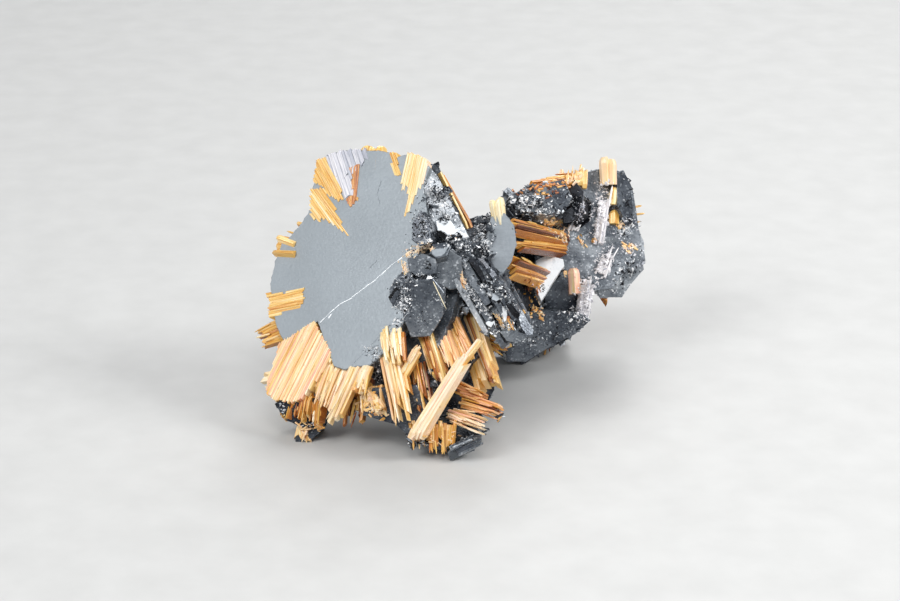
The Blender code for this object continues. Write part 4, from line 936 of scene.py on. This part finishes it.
def layered_plate(surface, outline, anchor, normal, thickness, back_size, shade, dice,
                  jag, step, layer=0.3, bevel=0.05):  # fmt: skip
    """A plate whose sides show the thin layers that it grew in."""
    rough = jagged(outline, jag, step, dice)
    rim = [on_plane(p.x, p.y, anchor, normal) for p in rough]
    middle = sum(rim, Vector()) / len(rim)
    reach = sum((p - middle).length for p in rim) / len(rim)

    def size(share):
        if share < BELLY:
            return 1 + (BELLY_SIZE - 1) * share / BELLY
        return BELLY_SIZE + (back_size - BELLY_SIZE) * (share - BELLY) / (1 - BELLY)

    def ring(share, scale, wobble):
        shift = normal * (thickness * share)
        return [middle + (p - middle) * (scale * w) - shift for p, w in zip(rim, wobble)]

    even = [1.0] * len(rim)
    rings = [ring(0.0, 1 - bevel / reach, even), ring(min(0.2, bevel / thickness), 1.0, even)]
    layers = max(2, round(thickness / layer))
    edges = [0.0] + sorted(dice.uniform(0.08, 0.97) for _ in range(layers - 1)) + [1.0]
    for upper, lower in zip(edges, edges[1:]):
        pull = dice.uniform(0.0, LAYER_PULL) / reach
        wobble = [1 - abs(dice.gauss(0, 0.25)) * LAYER_ROUGH / reach for _ in rim]
        if upper > 0.0:
            rings.append(ring(upper + GROOVE, size(upper) - pull, wobble))
            rings.append(ring(max(lower - GROOVE, upper + 0.005), size(lower) - pull, wobble))
    rings.append(ring(1.0, back_size - bevel / reach, even))
    surface.loft(rings, shade)


def hull_of(points):
    """The points and faces of the convex hull."""
    shape = bmesh.new()
    for point in points:
        shape.verts.new(point)
    made = bmesh.ops.convex_hull(shape, input=shape.verts)
    spare = {v for v in made["geom_interior"] if isinstance(v, bmesh.types.BMVert)}
    bmesh.ops.delete(shape, geom=list(spare), context="VERTS")
    shape.verts.index_update()
    corners = [v.co.copy() for v in shape.verts]
    faces = [tuple(v.index for v in face.verts) for face in shape.faces]
    shape.free()
    return corners, faces


def shard_kinds(dice, count=24):
    """The forms of the shards: small convex solids, flat to round."""
    kinds = []
    for _ in range(count):
        flat = Vector((1.0, dice.uniform(0.5, 1.0), dice.uniform(0.25, 0.8)))
        points = []
        for _ in range(dice.randint(6, 9)):
            ball = any_way(dice)
            points.append(Vector((ball.x * flat.x, ball.y * flat.y, ball.z * flat.z)))
        kinds.append(hull_of(points))
    return kinds


def any_turn(dice):
    axis = any_way(dice)
    return Matrix.Rotation(dice.uniform(0, math.tau), 3, axis)


def shard(surface, kinds, middle, radius, shade, dice, tint=0.0):
    """One shard, turned any way."""
    corners, faces = dice.choice(kinds)
    turn = any_turn(dice)
    spot = pattern_place(dice)
    surface.add([middle + turn @ (corner * radius) for corner in corners], faces, shade, tint, spot)


def cad_triangles():
    """The solid as triangles in millimetres."""
    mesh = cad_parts[NODE_NAME].data
    mesh.calc_loop_triangles()
    points = [v.co / MM for v in mesh.vertices]
    return points, [tuple(t.vertices) for t in mesh.loop_triangles]


def spread_places(count, dice):
    """Places spread evenly over the solid, with the way that each one faces."""
    points, corners = cad_triangles()
    areas, total = [], 0.0
    for a, b, c in corners:
        total += (points[b] - points[a]).cross(points[c] - points[a]).length
        areas.append(total)
    made = []
    for _ in range(count):
        a, b, c = (points[i] for i in corners[bisect.bisect_left(areas, dice.uniform(0, total))])
        u, v = dice.random(), dice.random()
        if u + v > 1:
            u, v = 1 - u, 1 - v
        facing = (b - a).cross(c - a)
        if facing.length > 1e-6:
            made.append((a + (b - a) * u + (c - a) * v, facing.normalized()))
    return made


def sheaf_laths(root_a, root_b, tip_a, tip_b, flat, count, thickness, dice):
    """The laths of one sheaf, as the part's source draws them."""
    spread = ((root_b - root_a).length + (tip_b - tip_a).length) / 2
    width = max(LATH_WIDTH, spread / count * LATH_OVERLAP)
    made = []
    for i in range(count):
        share = (i + 0.5) / count
        root = root_a.lerp(root_b, share)
        tip = tip_a.lerp(tip_b, share)
        tip = root.lerp(tip, dice.uniform(*LATH_LENGTHS))
        lift = flat * dice.uniform(-LATH_LIFT, LATH_LIFT) * thickness
        sink = (root - tip).normalized() * LATH_SINK
        turned = (flat + (tip_b - tip_a) * dice.uniform(-LATH_TWIST, LATH_TWIST)).normalized()
        wide = width * dice.uniform(*LATH_WIDTHS)
        thick = thickness * dice.uniform(*LATH_THICKNESSES)
        chisel = dice.uniform(*LATH_CHISELS)
        made.append((root + sink + lift, tip + lift, wide, thick, turned, chisel))
    return made


def all_sheaves(dice):
    """Each sheaf's name and laths, drawn in the same order as in the part's source."""
    made = {}
    for name, (root_a, root_b, tip_a, tip_b, depth, count, thickness) in STACK_SHEAVES.items():
        ends = [on_stack(*place, depth) for place in (root_a, root_b, tip_a, tip_b)]
        made[name] = sheaf_laths(*ends, STACK_NORMAL, count, thickness, dice)
    middle = on_stack(*STAR_MIDDLE, STAR_DEPTH)
    up = (UP - STACK_NORMAL * UP.dot(STACK_NORMAL)).normalized()
    right = up.cross(STACK_NORMAL)
    for arm in range(6):
        angle = math.radians(60 * arm + AXIS_TURN)
        along = right * math.cos(angle) + up * math.sin(angle)
        across = STACK_NORMAL.cross(along)
        tip = middle + along * STAR_RADIUS * (SHORT_ARM if arm in SHORT_ARMS else 1.0)
        made[f"star_{arm}"] = sheaf_laths(
            middle - across * STAR_ROOT, middle + across * STAR_ROOT,
            tip - across * STAR_TIP, tip + across * STAR_TIP,
            STACK_NORMAL, STAR_LATHS, STAR_THICK, dice)  # fmt: skip
    for name, (root_a, root_b, tip_a, tip_b, flat, count, thickness) in FREE_SHEAVES.items():
        ends = [seen(*place) for place in (root_a, root_b, tip_a, tip_b)]
        made[name] = sheaf_laths(*ends, flat, count, thickness, dice)
    return made


def lumps(dice):
    """The middles and sizes of the broken lumps, drawn in the same order as in the part's source."""
    made = []
    for (x, y, near), across, up, count, size in RUBBLE.values():
        for _ in range(count):
            x_now, y_now = x + dice.uniform(-across, across), y + dice.uniform(-up, up)
            middle = seen(x_now, y_now, near - LUMP_SINK)
            radius = size * dice.uniform(0.6, 1.1)
            points = [middle + any_way(dice) * radius for _ in range(LUMP_CORNERS)]
            made.append((middle, radius, points))
    return made


def dark_leaves():
    """The laths of the bundle of dark crystals, as in the part's source."""
    top, end = seen(*DARK_PILE_TOP), seen(*DARK_PILE_END)
    deep = DARK_PILE_NORMAL.cross(end - top).normalized()
    if deep.dot(NEAR) > 0:
        deep = -deep
    made = []
    for i, (start, stop) in enumerate(DARK_LEAVES):
        shift = DARK_PILE_NORMAL * DARK_LEAF * (i - (len(DARK_LEAVES) - 1) / 2)
        inset = deep * (DARK_PILE_DEPTH / 2 + DARK_LEAF_STEP * (i % 2))
        root = top.lerp(end, start) + shift + inset
        tip = top.lerp(end, stop) + shift + inset
        made.append((root, tip, DARK_PILE_DEPTH, DARK_LEAF * DARK_LEAF_OVERLAP, DARK_PILE_NORMAL,
                     DARK_LEAF_CHISEL))
    return made


# Shader helpers.
def new_material(name):
    material = bpy.data.materials.new(name)
    material.use_nodes = True
    return material, material.node_tree, material.node_tree.nodes["Principled BSDF"]


def node(tree, kind, **values):
    made = tree.nodes.new(kind)
    for key, value in values.items():
        setattr(made, key, value)
    return made


def noise(tree, coordinates, scale, detail, stretch=None):
    """A cloudy pattern, stretched where three scales are given."""
    made = node(tree, "ShaderNodeTexNoise")
    made.inputs["Scale"].default_value = scale
    made.inputs["Detail"].default_value = detail
    if stretch:
        mapping = node(tree, "ShaderNodeMapping")
        mapping.inputs["Scale"].default_value = stretch
        tree.links.new(coordinates, mapping.inputs["Vector"])
        coordinates = mapping.outputs["Vector"]
    tree.links.new(coordinates, made.inputs["Vector"])
    return made.outputs["Fac"]


def cells(tree, coordinates, scale):
    """A random number for each cell of a fine broken pattern."""
    made = node(tree, "ShaderNodeTexVoronoi")
    made.inputs["Scale"].default_value = scale
    tree.links.new(coordinates, made.inputs["Vector"])
    parts = node(tree, "ShaderNodeSeparateColor")
    tree.links.new(made.outputs["Color"], parts.inputs["Color"])
    return parts.outputs["Red"]


def ramp(tree, value, stops):
    """The colour that these stops give a value."""
    made = node(tree, "ShaderNodeValToRGB")
    while len(made.color_ramp.elements) < len(stops):
        made.color_ramp.elements.new(0.5)
    for element, (place, color) in zip(made.color_ramp.elements, stops):
        element.position = place
        element.color = (*color, 1.0)
    tree.links.new(value, made.inputs["Fac"])
    return made.outputs["Color"]


def spread(tree, value, low, high, low_in=0.3, high_in=0.7):
    """The value, moved from one range to another."""
    made = node(tree, "ShaderNodeMapRange")
    made.inputs["From Min"].default_value = low_in
    made.inputs["From Max"].default_value = high_in
    made.inputs["To Min"].default_value = low
    made.inputs["To Max"].default_value = high
    tree.links.new(value, made.inputs["Value"])
    return made.outputs["Result"]


def calculate(tree, operation, first, second):
    made = node(tree, "ShaderNodeMath", operation=operation)
    for socket, value in zip(made.inputs, (first, second)):
        if isinstance(value, float):
            socket.default_value = value
        else:
            tree.links.new(value, socket)
    return made.outputs[0]


def total(tree, first, *others):
    """The sum of several values."""
    for other in others:
        first = calculate(tree, "ADD", first, other)
    return first


def blend(tree, share, first, color):
    """The first colour with this share of a plain one."""
    made = node(tree, "ShaderNodeMix", data_type="RGBA")
    tree.links.new(share, made.inputs["Factor"])
    tree.links.new(first, made.inputs[6])
    made.inputs[7].default_value = (*color, 1.0)
    return made.outputs[2]


def dress(tree, shader, color, roughness, metallic, height, strength, distance):
    """Gives the shader its colour, roughness, metallic share and bumps."""
    bump = node(tree, "ShaderNodeBump")
    bump.inputs["Strength"].default_value = strength
    bump.inputs["Distance"].default_value = distance
    tree.links.new(height, bump.inputs["Height"])
    tree.links.new(bump.outputs["Normal"], shader.inputs["Normal"])
    tree.links.new(color, shader.inputs["Base Color"])
    tree.links.new(roughness, shader.inputs["Roughness"])
    shader.inputs["Metallic"].default_value = metallic


def srgb(red, green, blue):
    def linear(value):
        value /= 255
        return value / 12.92 if value <= 0.04045 else ((value + 0.055) / 1.055) ** 2.4

    return linear(red), linear(green), linear(blue)


def attribute(tree, name):
    return node(tree, "ShaderNodeAttribute", attribute_name=name).outputs["Fac"]


# What a face's mark looks like in each material, from 0 to 1. The white end of the hematite ramps
# is painted reflection.
SATIN_RAMP = [
    (0.0, srgb(84, 88, 93)), (0.25, srgb(104, 110, 115)), (0.5, srgb(137, 144, 149)),
    (0.62, srgb(152, 159, 165)), (0.8, srgb(206, 212, 218)), (1.0, srgb(250, 253, 255)),
]  # fmt: skip
DARK_RAMP = [
    (0.0, srgb(12, 13, 17)), (0.2, srgb(44, 48, 56)), (0.4, srgb(88, 94, 102)),
    (0.6, srgb(132, 138, 144)), (0.8, srgb(204, 209, 214)), (1.0, srgb(255, 255, 255)),
]  # fmt: skip
RUTILE_RAMP = [
    (0.0, srgb(255, 243, 210)), (0.16, srgb(253, 226, 162)), (0.32, srgb(242, 198, 108)),
    (0.48, srgb(224, 162, 64)), (0.64, srgb(192, 110, 32)), (0.8, srgb(124, 60, 18)),
    (1.0, srgb(44, 22, 12)),
]  # fmt: skip
SILVER_RAMP = [
    (0.0, srgb(110, 112, 120)), (0.5, srgb(178, 181, 192)), (0.8, srgb(226, 224, 228)),
    (1.0, srgb(255, 252, 252)),
]  # fmt: skip


def satin_material():
    """Smooth satin hematite, dark grey to white, with a faint mottle and fine scratches."""
    material, tree, shader = new_material("hematite_satin")
    place = node(tree, "ShaderNodeTexCoord").outputs["Object"]
    cloud = noise(tree, place, 320.0, 3.0)
    grain = noise(tree, place, 5200.0, 2.0)
    varied = total(tree, attribute(tree, "mark"), spread(tree, cloud, -0.03, 0.03),
                   spread(tree, grain, -0.02, 0.02))
    speck = spread(tree, noise(tree, place, 2600.0, 2.0), 0.0, 0.3, 0.62, 0.72)
    color = blend(tree, speck, ramp(tree, varied, SATIN_RAMP), srgb(128, 136, 144))
    scratch = noise(tree, place, 900.0, 5.0, (1.0, 1.0, 7.0))
    dress(tree, shader, color, spread(tree, grain, 0.34, 0.48), 0.45,
          total(tree, grain, scratch), 0.25, 0.00003)
    return material


def dark_material():
    """Steel grey to nearly black hematite with a metallic lustre and fine painted glints."""
    material, tree, shader = new_material("hematite_dark")
    place = node(tree, "ShaderNodeTexCoord").outputs["Object"]
    cloud = noise(tree, place, 700.0, 4.0)
    fine = cells(tree, place, 9000.0)
    varied = total(tree, attribute(tree, "mark"), spread(tree, cloud, -0.14, 0.14),
                   spread(tree, fine, 0.0, 0.25, 0.84, 1.0), spread(tree, fine, -0.12, 0.0, 0.0, 0.25))
    lines = noise(tree, place, 1800.0, 2.0, (1.0, 6.0, 1.0))
    dress(tree, shader, ramp(tree, varied, DARK_RAMP), spread(tree, cloud, 0.2, 0.36), 0.4,
          total(tree, calculate(tree, "MULTIPLY", fine, 0.3), lines), 0.3, 0.00004)
    return material


def glitter_material():
    """Broken hematite: tiny facets from black to white, the white ones painted glints."""
    material, tree, shader = new_material("hematite_glitter")
    place = node(tree, "ShaderNodeTexCoord").outputs["Object"]
    facets = cells(tree, place, 7500.0)
    varied = total(tree, attribute(tree, "mark"), spread(tree, facets, -0.08, 0.08, 0.1, 0.9))
    dress(tree, shader, ramp(tree, varied, DARK_RAMP), spread(tree, facets, 0.14, 0.34), 0.2,
          facets, 0.5, 0.00004)
    return material


def rutile_material():
    """Golden rutile: pale cream to reddish brown, lined along its length."""
    material, tree, shader = new_material("rutile")
    pattern = node(tree, "ShaderNodeUVMap", uv_map="pattern").outputs["UV"]
    lines = noise(tree, pattern, 1.0, 3.0, (15.0, 0.4, 1.0))
    broad = noise(tree, pattern, 1.0, 2.0, (6.0, 0.3, 1.0))
    spots = noise(tree, pattern, 1.0, 4.0, (6.0, 3.0, 1.0))
    varied = total(tree, attribute(tree, "mark"), spread(tree, lines, -0.2, 0.2))
    pale = calculate(tree, "SUBTRACT", 1.0, varied)
    pink = spread(tree, broad, 0.0, 1.0, 0.35, 0.6)
    pink = calculate(tree, "MULTIPLY", attribute(tree, "tint"), pink)
    pink = calculate(tree, "MULTIPLY", pink, pale)
    color = blend(tree, pink, ramp(tree, varied, RUTILE_RAMP), srgb(244, 172, 146))
    color = blend(tree, spread(tree, spots, 0.0, 0.8, 0.64, 0.78), color, srgb(164, 92, 42))
    dress(tree, shader, color, spread(tree, lines, 0.22, 0.4), 0.0, lines, 0.6, 0.00005)
    shader.inputs["IOR"].default_value = 1.7
    return material


def silver_material():
    """Silvery ridged laths, where hematite still covers the rutile."""
    material, tree, shader = new_material("rutile_silver")
    pattern = node(tree, "ShaderNodeUVMap", uv_map="pattern").outputs["UV"]
    lines = noise(tree, pattern, 1.0, 3.0, (12.0, 0.5, 1.0))
    varied = total(tree, attribute(tree, "mark"), spread(tree, lines, -0.25, 0.2))
    dress(tree, shader, ramp(tree, varied, SILVER_RAMP), spread(tree, lines, 0.3, 0.5), 0.1,
          lines, 0.6, 0.00006)
    return material


def floor_material():
    material, tree, shader = new_material("pale_floor")
    place = node(tree, "ShaderNodeTexCoord").outputs["Object"]
    grain = noise(tree, place, 300.0, 3.0)
    color = ramp(tree, grain, [(0.3, srgb(197, 197, 195)), (0.7, srgb(203, 203, 201))])
    tree.links.new(color, shader.inputs["Base Color"])
    shader.inputs["Roughness"].default_value = 0.6
    return material


def pale_line(surface, places, width, satin, dice):
    """A fine raised line on the big face, broken in places."""
    for start, stop in zip(places, places[1:]):
        start, stop = on_stack(*start, 0.0), on_stack(*stop, 0.0)
        count = max(1, round((stop - start).length / 0.5))
        for k in range(count):
            root, tip = start.lerp(stop, k / count), start.lerp(stop, (k + 1) / count)
            side = STACK_NORMAL.cross(tip - root).normalized() * dice.gauss(0, 0.015)
            splinter(surface, root + side, tip + (tip - root) * 0.1 + side,
                     width * dice.uniform(0.5, 1.3), 0.05, STACK_NORMAL, satin, 0.0, dice)


def front_face(dice):
    """The front plate and the other smooth crystals."""
    surface = Surface()
    outline, depth, thickness, back = STACK[0]
    layered_plate(surface, outline, on_stack(*outline[0], depth), STACK_NORMAL, thickness, back,
                  FACE_SATIN, dice, jag=0.14, step=0.22)
    for places, width, satin in LINES:
        pale_line(surface, places, width, satin, dice)
    for name, satin in SATIN.items():
        outline, near, facing, thickness, back = BLOCKS[name]
        layered_plate(surface, outline, seen(*outline[0], near), facing, thickness, back,
                      satin, dice, jag=0.06, step=0.3, layer=0.4)
    return surface


def dark_plates(dice):
    """The dark plates and crystals, and the ridged bundle."""
    surface = Surface()
    for outline, depth, thickness, back in STACK[1:]:
        layered_plate(surface, outline, on_stack(*outline[0], depth), STACK_NORMAL, thickness,
                      back, STACK_SHADE, dice, jag=0.12, step=0.3)
    for name, (outline, near, facing, thickness, back) in BLOCKS.items():
        if name not in SATIN:
            layered_plate(surface, outline, seen(*outline[0], near), facing, thickness, back,
                          SHADE[name], dice, jag=0.07, step=0.4, layer=0.45)
    for leaf, shade in zip(dark_leaves(), LEAF_SHADES):
        striated_lath(surface, *leaf, (shade, *LEAF_LOOK), dice)
    return surface


def rutile(sheaves, names, dice):
    """The laths, splinters and stubs of these sheaves."""
    surface = Surface()
    for name in names:
        look = LOOKS.get(name, PLAIN_LOOK)
        for root, tip, width, thickness, flat, chisel in sheaves[name]:
            lath = root, tip, width * SLIM.get(name, 1.0), thickness, flat, chisel
            if name in NUBS:
                nub(surface, lath, look, dice)
                continue
            striated_lath(surface, *lath, look, dice)
            add_splinters(surface, lath, look, dice)
    return surface


def add_splinters(surface, lath, look, dice):
    """A few slivers on both flat sides of a lath."""
    root, tip, width, thickness, flat, _ = lath
    tone, pink, _, uneven = look
    along, across, out, length = lath_axes(root, tip, flat)
    for _ in range(round(uneven * dice.uniform(0.5, 3.0))):
        start = dice.uniform(0.15, 0.7)
        size = min(dice.uniform(0.8, 2.6), length * (0.97 - start))
        way = (along + across * dice.gauss(0, 0.09) + out * dice.uniform(0.0, 0.05)).normalized()
        side = dice.choice((1, 1, -1))
        place = root.lerp(tip, start) + across * (width * dice.uniform(-0.4, 0.4))
        place += out * (side * thickness * 0.47)
        splinter(surface, place, place + way * size, dice.uniform(0.07, 0.2), 0.16, out * side,
                 tone + dice.gauss(-0.06, 0.12), pink, dice)


def add_patches(surface, dice):
    for name, (outline, along, tone, pink, strip, deep) in PATCHES.items():
        bars = LONG_BARS.get(name, SHORT_BARS)
        patch(surface, outline, along, tone, pink, strip, deep, dice, bars)


# Broken bits. How much smaller the lumps are than in the solid, the shards on each one and how far
# out they sit, and how deep shards of glitter and of the streaks sink in, in shares of a radius.
LUMP_SHRINK = 0.94
LUMP_SHARDS = 16
LUMP_REACH = 0.75
GLITTER_SINK = 0.4
STREAK_SINK = 0.5
# Where no shards go on the back: this near to the stack's face or the floor, where a face turns
# this far to the camera, or where hematite is farther or rutile nearer than this.
FACE_CLEAR = 2.6
FLOOR_CLEAR = 0.3
SEEN_FROM = 0.75
DARK_REACH = 0.25
GOLD_CLEAR = 0.3
# The smallest radius of a shard on the back, and how much larger it can be.
BACK_RADIUS = 0.1
BACK_RADIUS_MORE = 0.36
# The share of crumbs among the slivers, how far slivers turn, and the size from which they are short.
CRUMB_SHARE = 0.3
CRUMB_TURN = 0.45
LARGE_CRUMB = 0.2
# How far a facet stands out, its thickness, and the size of its back.
FACET_LIFT = 0.1
FACET_THICK = 0.6
FACET_BACK = 0.9
# How far the needle stands before the faces that it crosses, and its tone.
NEEDLE_LIFT = 0.35
NEEDLE_TONE = -0.15


def add_lumps(surface, places, dice):
    for middle, _, ends in places:
        corners, faces = hull_of(ends)
        points = [middle + (c - middle) * LUMP_SHRINK for c in corners]
        surface.add(points, faces, dice.uniform(0.15, 0.6))


def broken_hematite(places, sight, dice):
    """Shards around the lumps and along the glittering stretches."""
    surface = Surface()
    kinds = shard_kinds(dice)
    for middle, radius, _ in places:
        for _ in range(LUMP_SHARDS):
            shift = any_way(dice) * radius * LUMP_REACH
            shard(surface, kinds, middle + shift, radius * dice.uniform(0.1, 0.3),
                  dice.uniform(0.0, 1.0), dice)
    for start, stop, spread_out, count, size, shade in GLITTER:
        for _ in range(count):
            place, facing = sight.look(*near_stretch(start, stop, spread_out, dice))
            if place is None:
                continue
            radius = size * dice.uniform(0.5, 1.4)
            shard(surface, kinds, place - facing * radius * GLITTER_SINK, radius,
                  shade + dice.choice(GLITTER_STEPS) + dice.gauss(0, 0.08), dice)
    return surface


def near_stretch(start, stop, spread_out, dice):
    """A place beside a stretch, as seen."""
    share = dice.random()
    return tuple(a + (b - a) * share + dice.gauss(0, spread_out) for a, b in zip(start, stop))


def streaks(surface, sight, dice):
    """The rough pale streaks of the rear face."""
    kinds = shard_kinds(dice)
    for start, stop, spread_out, count, size, shade in STREAKS:
        for _ in range(count):
            place, facing = sight.any_hit(*near_stretch(start, stop, spread_out, dice))
            if place is not None:
                radius = size * dice.uniform(0.6, 1.3)
                shard(surface, kinds, place - facing * radius * STREAK_SINK, radius,
                      shade - abs(dice.gauss(0, 0.2)), dice)


def back_shards(sight, dice):
    """Broken bits on the sides and the back, where hematite shows."""
    surface = Surface()
    kinds = shard_kinds(dice)
    for place, facing in spread_places(BACK_SHARDS, dice):
        near_face = abs((place - STACK_ANCHOR).dot(STACK_NORMAL)) < FACE_CLEAR and place.x < 0
        if near_face or facing.dot(NEAR) > SEEN_FROM or place.z < FLOOR_CLEAR:
            continue
        spot, _, _, gap = sight.dark.find_nearest(place)
        if gap > DARK_REACH or sight.gold.find_nearest(place)[3] < GOLD_CLEAR:
            continue
        radius = BACK_RADIUS + BACK_RADIUS_MORE * dice.random() ** 3
        shard(surface, kinds, spot, radius, dice.uniform(0.05, 0.75), dice)
    return surface


def crumbs(surface, sight, dice):
    """Small slivers and crumbs of rutile along a stretch."""
    kinds = shard_kinds(dice)
    for start, stop, spread_out, count, size, tone in CRUMBS:
        run = seen(*stop, 0.0) - seen(*start, 0.0)
        for _ in range(count):
            place, facing = sight.any_hit(*near_stretch(start, stop, spread_out, dice))
            if place is None:
                continue
            shade = tone + dice.gauss(0, 0.16)
            if dice.random() < CRUMB_SHARE:
                shard(surface, kinds, place, size * dice.uniform(0.4, 0.9), shade, dice, 0.2)
                continue
            way = (run - facing * run.dot(facing)).normalized()
            way = Matrix.Rotation(dice.gauss(0, CRUMB_TURN), 3, facing) @ way
            reach = way * size * dice.uniform(0.6, 1.8) * (1.0 if size < LARGE_CRUMB else 0.5)
            width = size * dice.uniform(0.35, 0.8)
            splinter(surface, place - reach, place + reach, width, width, facing, shade, 0.5, dice,
                     BLUNT_STEPS)


def facets(face, plates, sight, dice):
    """The small facets, painted as reflections: bright ones look satin, dark ones glassy."""
    for outline, facing, bright in FACETS:
        middle = sum((Vector(p) for p in outline), Vector((0, 0))) / len(outline)
        place, _ = sight.any_hit(middle.x, middle.y)
        if place is not None:
            surface = face if bright > SATIN_FROM else plates
            layered_plate(surface, outline, place + facing * FACET_LIFT, facing, FACET_THICK,
                          FACET_BACK, bright, dice, jag=0.05, step=0.12, bevel=0.02)


def needle(surface, sight, dice):
    """The one thin needle that crosses the dark faces."""
    start, stop, width = NEEDLE
    depths = [(sight.any_hit(*place)[0] - VIEW_MIDDLE).dot(NEAR) for place in (start, stop)]
    depth = max(depths) + NEEDLE_LIFT
    splinter(surface, seen(*start, depth), seen(*stop, depth), width, width, NEAR, NEEDLE_TONE,
             0.0, dice)


# In metres: half the floor's side, the nearest distance that the camera shows, and the places
# and sizes of the lights. The lens and its sensor are in millimetres.
FLOOR_HALF = 3.0
LENS = 105.0
SENSOR_WIDTH = 36.0
NEAREST = 0.01
LIGHTS = [
    # place, power, size
    ((-0.20, -0.16, 0.22), 0.6, 0.16),
    ((0.20, -0.05, 0.16), 0.4, 0.10),
    ((0.05, 0.20, 0.20), 0.36, 0.14),
    ((0.02, -0.20, 0.26), 0.24, 0.12),
]
LIGHTS_TARGET = Vector((0, 0, 0.01))
WORLD = (0.27, 0.28, 0.3, 1.0)


def build_floor():
    mesh = bpy.data.meshes.new("floor")
    corners = ((-1, -1), (1, -1), (1, 1), (-1, 1))
    mesh.from_pydata([(x * FLOOR_HALF, y * FLOOR_HALF, 0) for x, y in corners], [], [(0, 1, 2, 3)])
    floor = add_object("floor", mesh)
    mesh.materials.append(floor_material())


def build_camera():
    camera = add_object("camera", bpy.data.cameras.new("camera"))
    camera.data.lens = LENS
    camera.data.sensor_width = SENSOR_WIDTH
    camera.data.clip_start = NEAREST
    camera.location = EYE * MM
    camera.rotation_euler = (-NEAR).to_track_quat("-Z", "Y").to_euler()
    bpy.context.scene.camera = camera


def build_lights():
    for i, (place, power, size) in enumerate(LIGHTS):
        lamp = bpy.data.lights.new(f"lamp_{i}", "AREA")
        lamp.energy = power
        lamp.size = size
        holder = add_object(f"lamp_{i}", lamp)
        holder.location = place
        toward = LIGHTS_TARGET - holder.location
        holder.rotation_euler = toward.to_track_quat("-Z", "Y").to_euler()
    world = bpy.data.worlds.new("studio")
    world.use_nodes = True
    world.node_tree.nodes["Background"].inputs["Color"].default_value = WORLD
    bpy.context.scene.world = world


def main():
    bpy.context.scene.view_settings.view_transform = "Standard"
    source_dice = random.Random(SEED)
    dice = random.Random(DETAIL_SEED)
    sheaves = all_sheaves(source_dice)
    front_names = [name for name in STACK_SHEAVES if name not in PATCHED]
    rear_names = [name for name in sheaves if name not in STACK_SHEAVES and name not in PALE_SHEAVES]
    face = front_face(dice)
    plates = dark_plates(dice)
    broken_places = lumps(source_dice)
    add_lumps(plates, broken_places, dice)
    front = rutile(sheaves, front_names, dice)
    add_patches(front, dice)
    rear = rutile(sheaves, rear_names, dice)
    silver = rutile(sheaves, PALE_SHEAVES, dice)
    patch(silver, *SILVER_PATCH, dice)
    sight = Sight([face, plates], [front, rear, silver])
    broken = broken_hematite(broken_places, sight, dice)
    back = back_shards(sight, dice)
    facets(face, plates, sight, dice)
    needle(front, sight, dice)
    crumbs(front, sight, dice)
    streaks(silver, sight, dice)
    striated_lath(plates, *BLADE, BLADE_LOOK, dice)
    dark, glitter, gold = dark_material(), glitter_material(), rutile_material()
    face.finish("front_plate", satin_material(), "hematite")
    plates.finish("hematite_plates", dark, "hematite")
    broken.finish("broken_hematite", glitter, "hematite")
    back.finish("broken_hematite_back", glitter, "hematite")
    front.finish("rutile_front", gold, "rutile")
    rear.finish("rutile_rear", gold, "rutile")
    silver.finish("rutile_silver", silver_material(), "rutile")
    build_floor()
    build_camera()
    build_lights()


main()
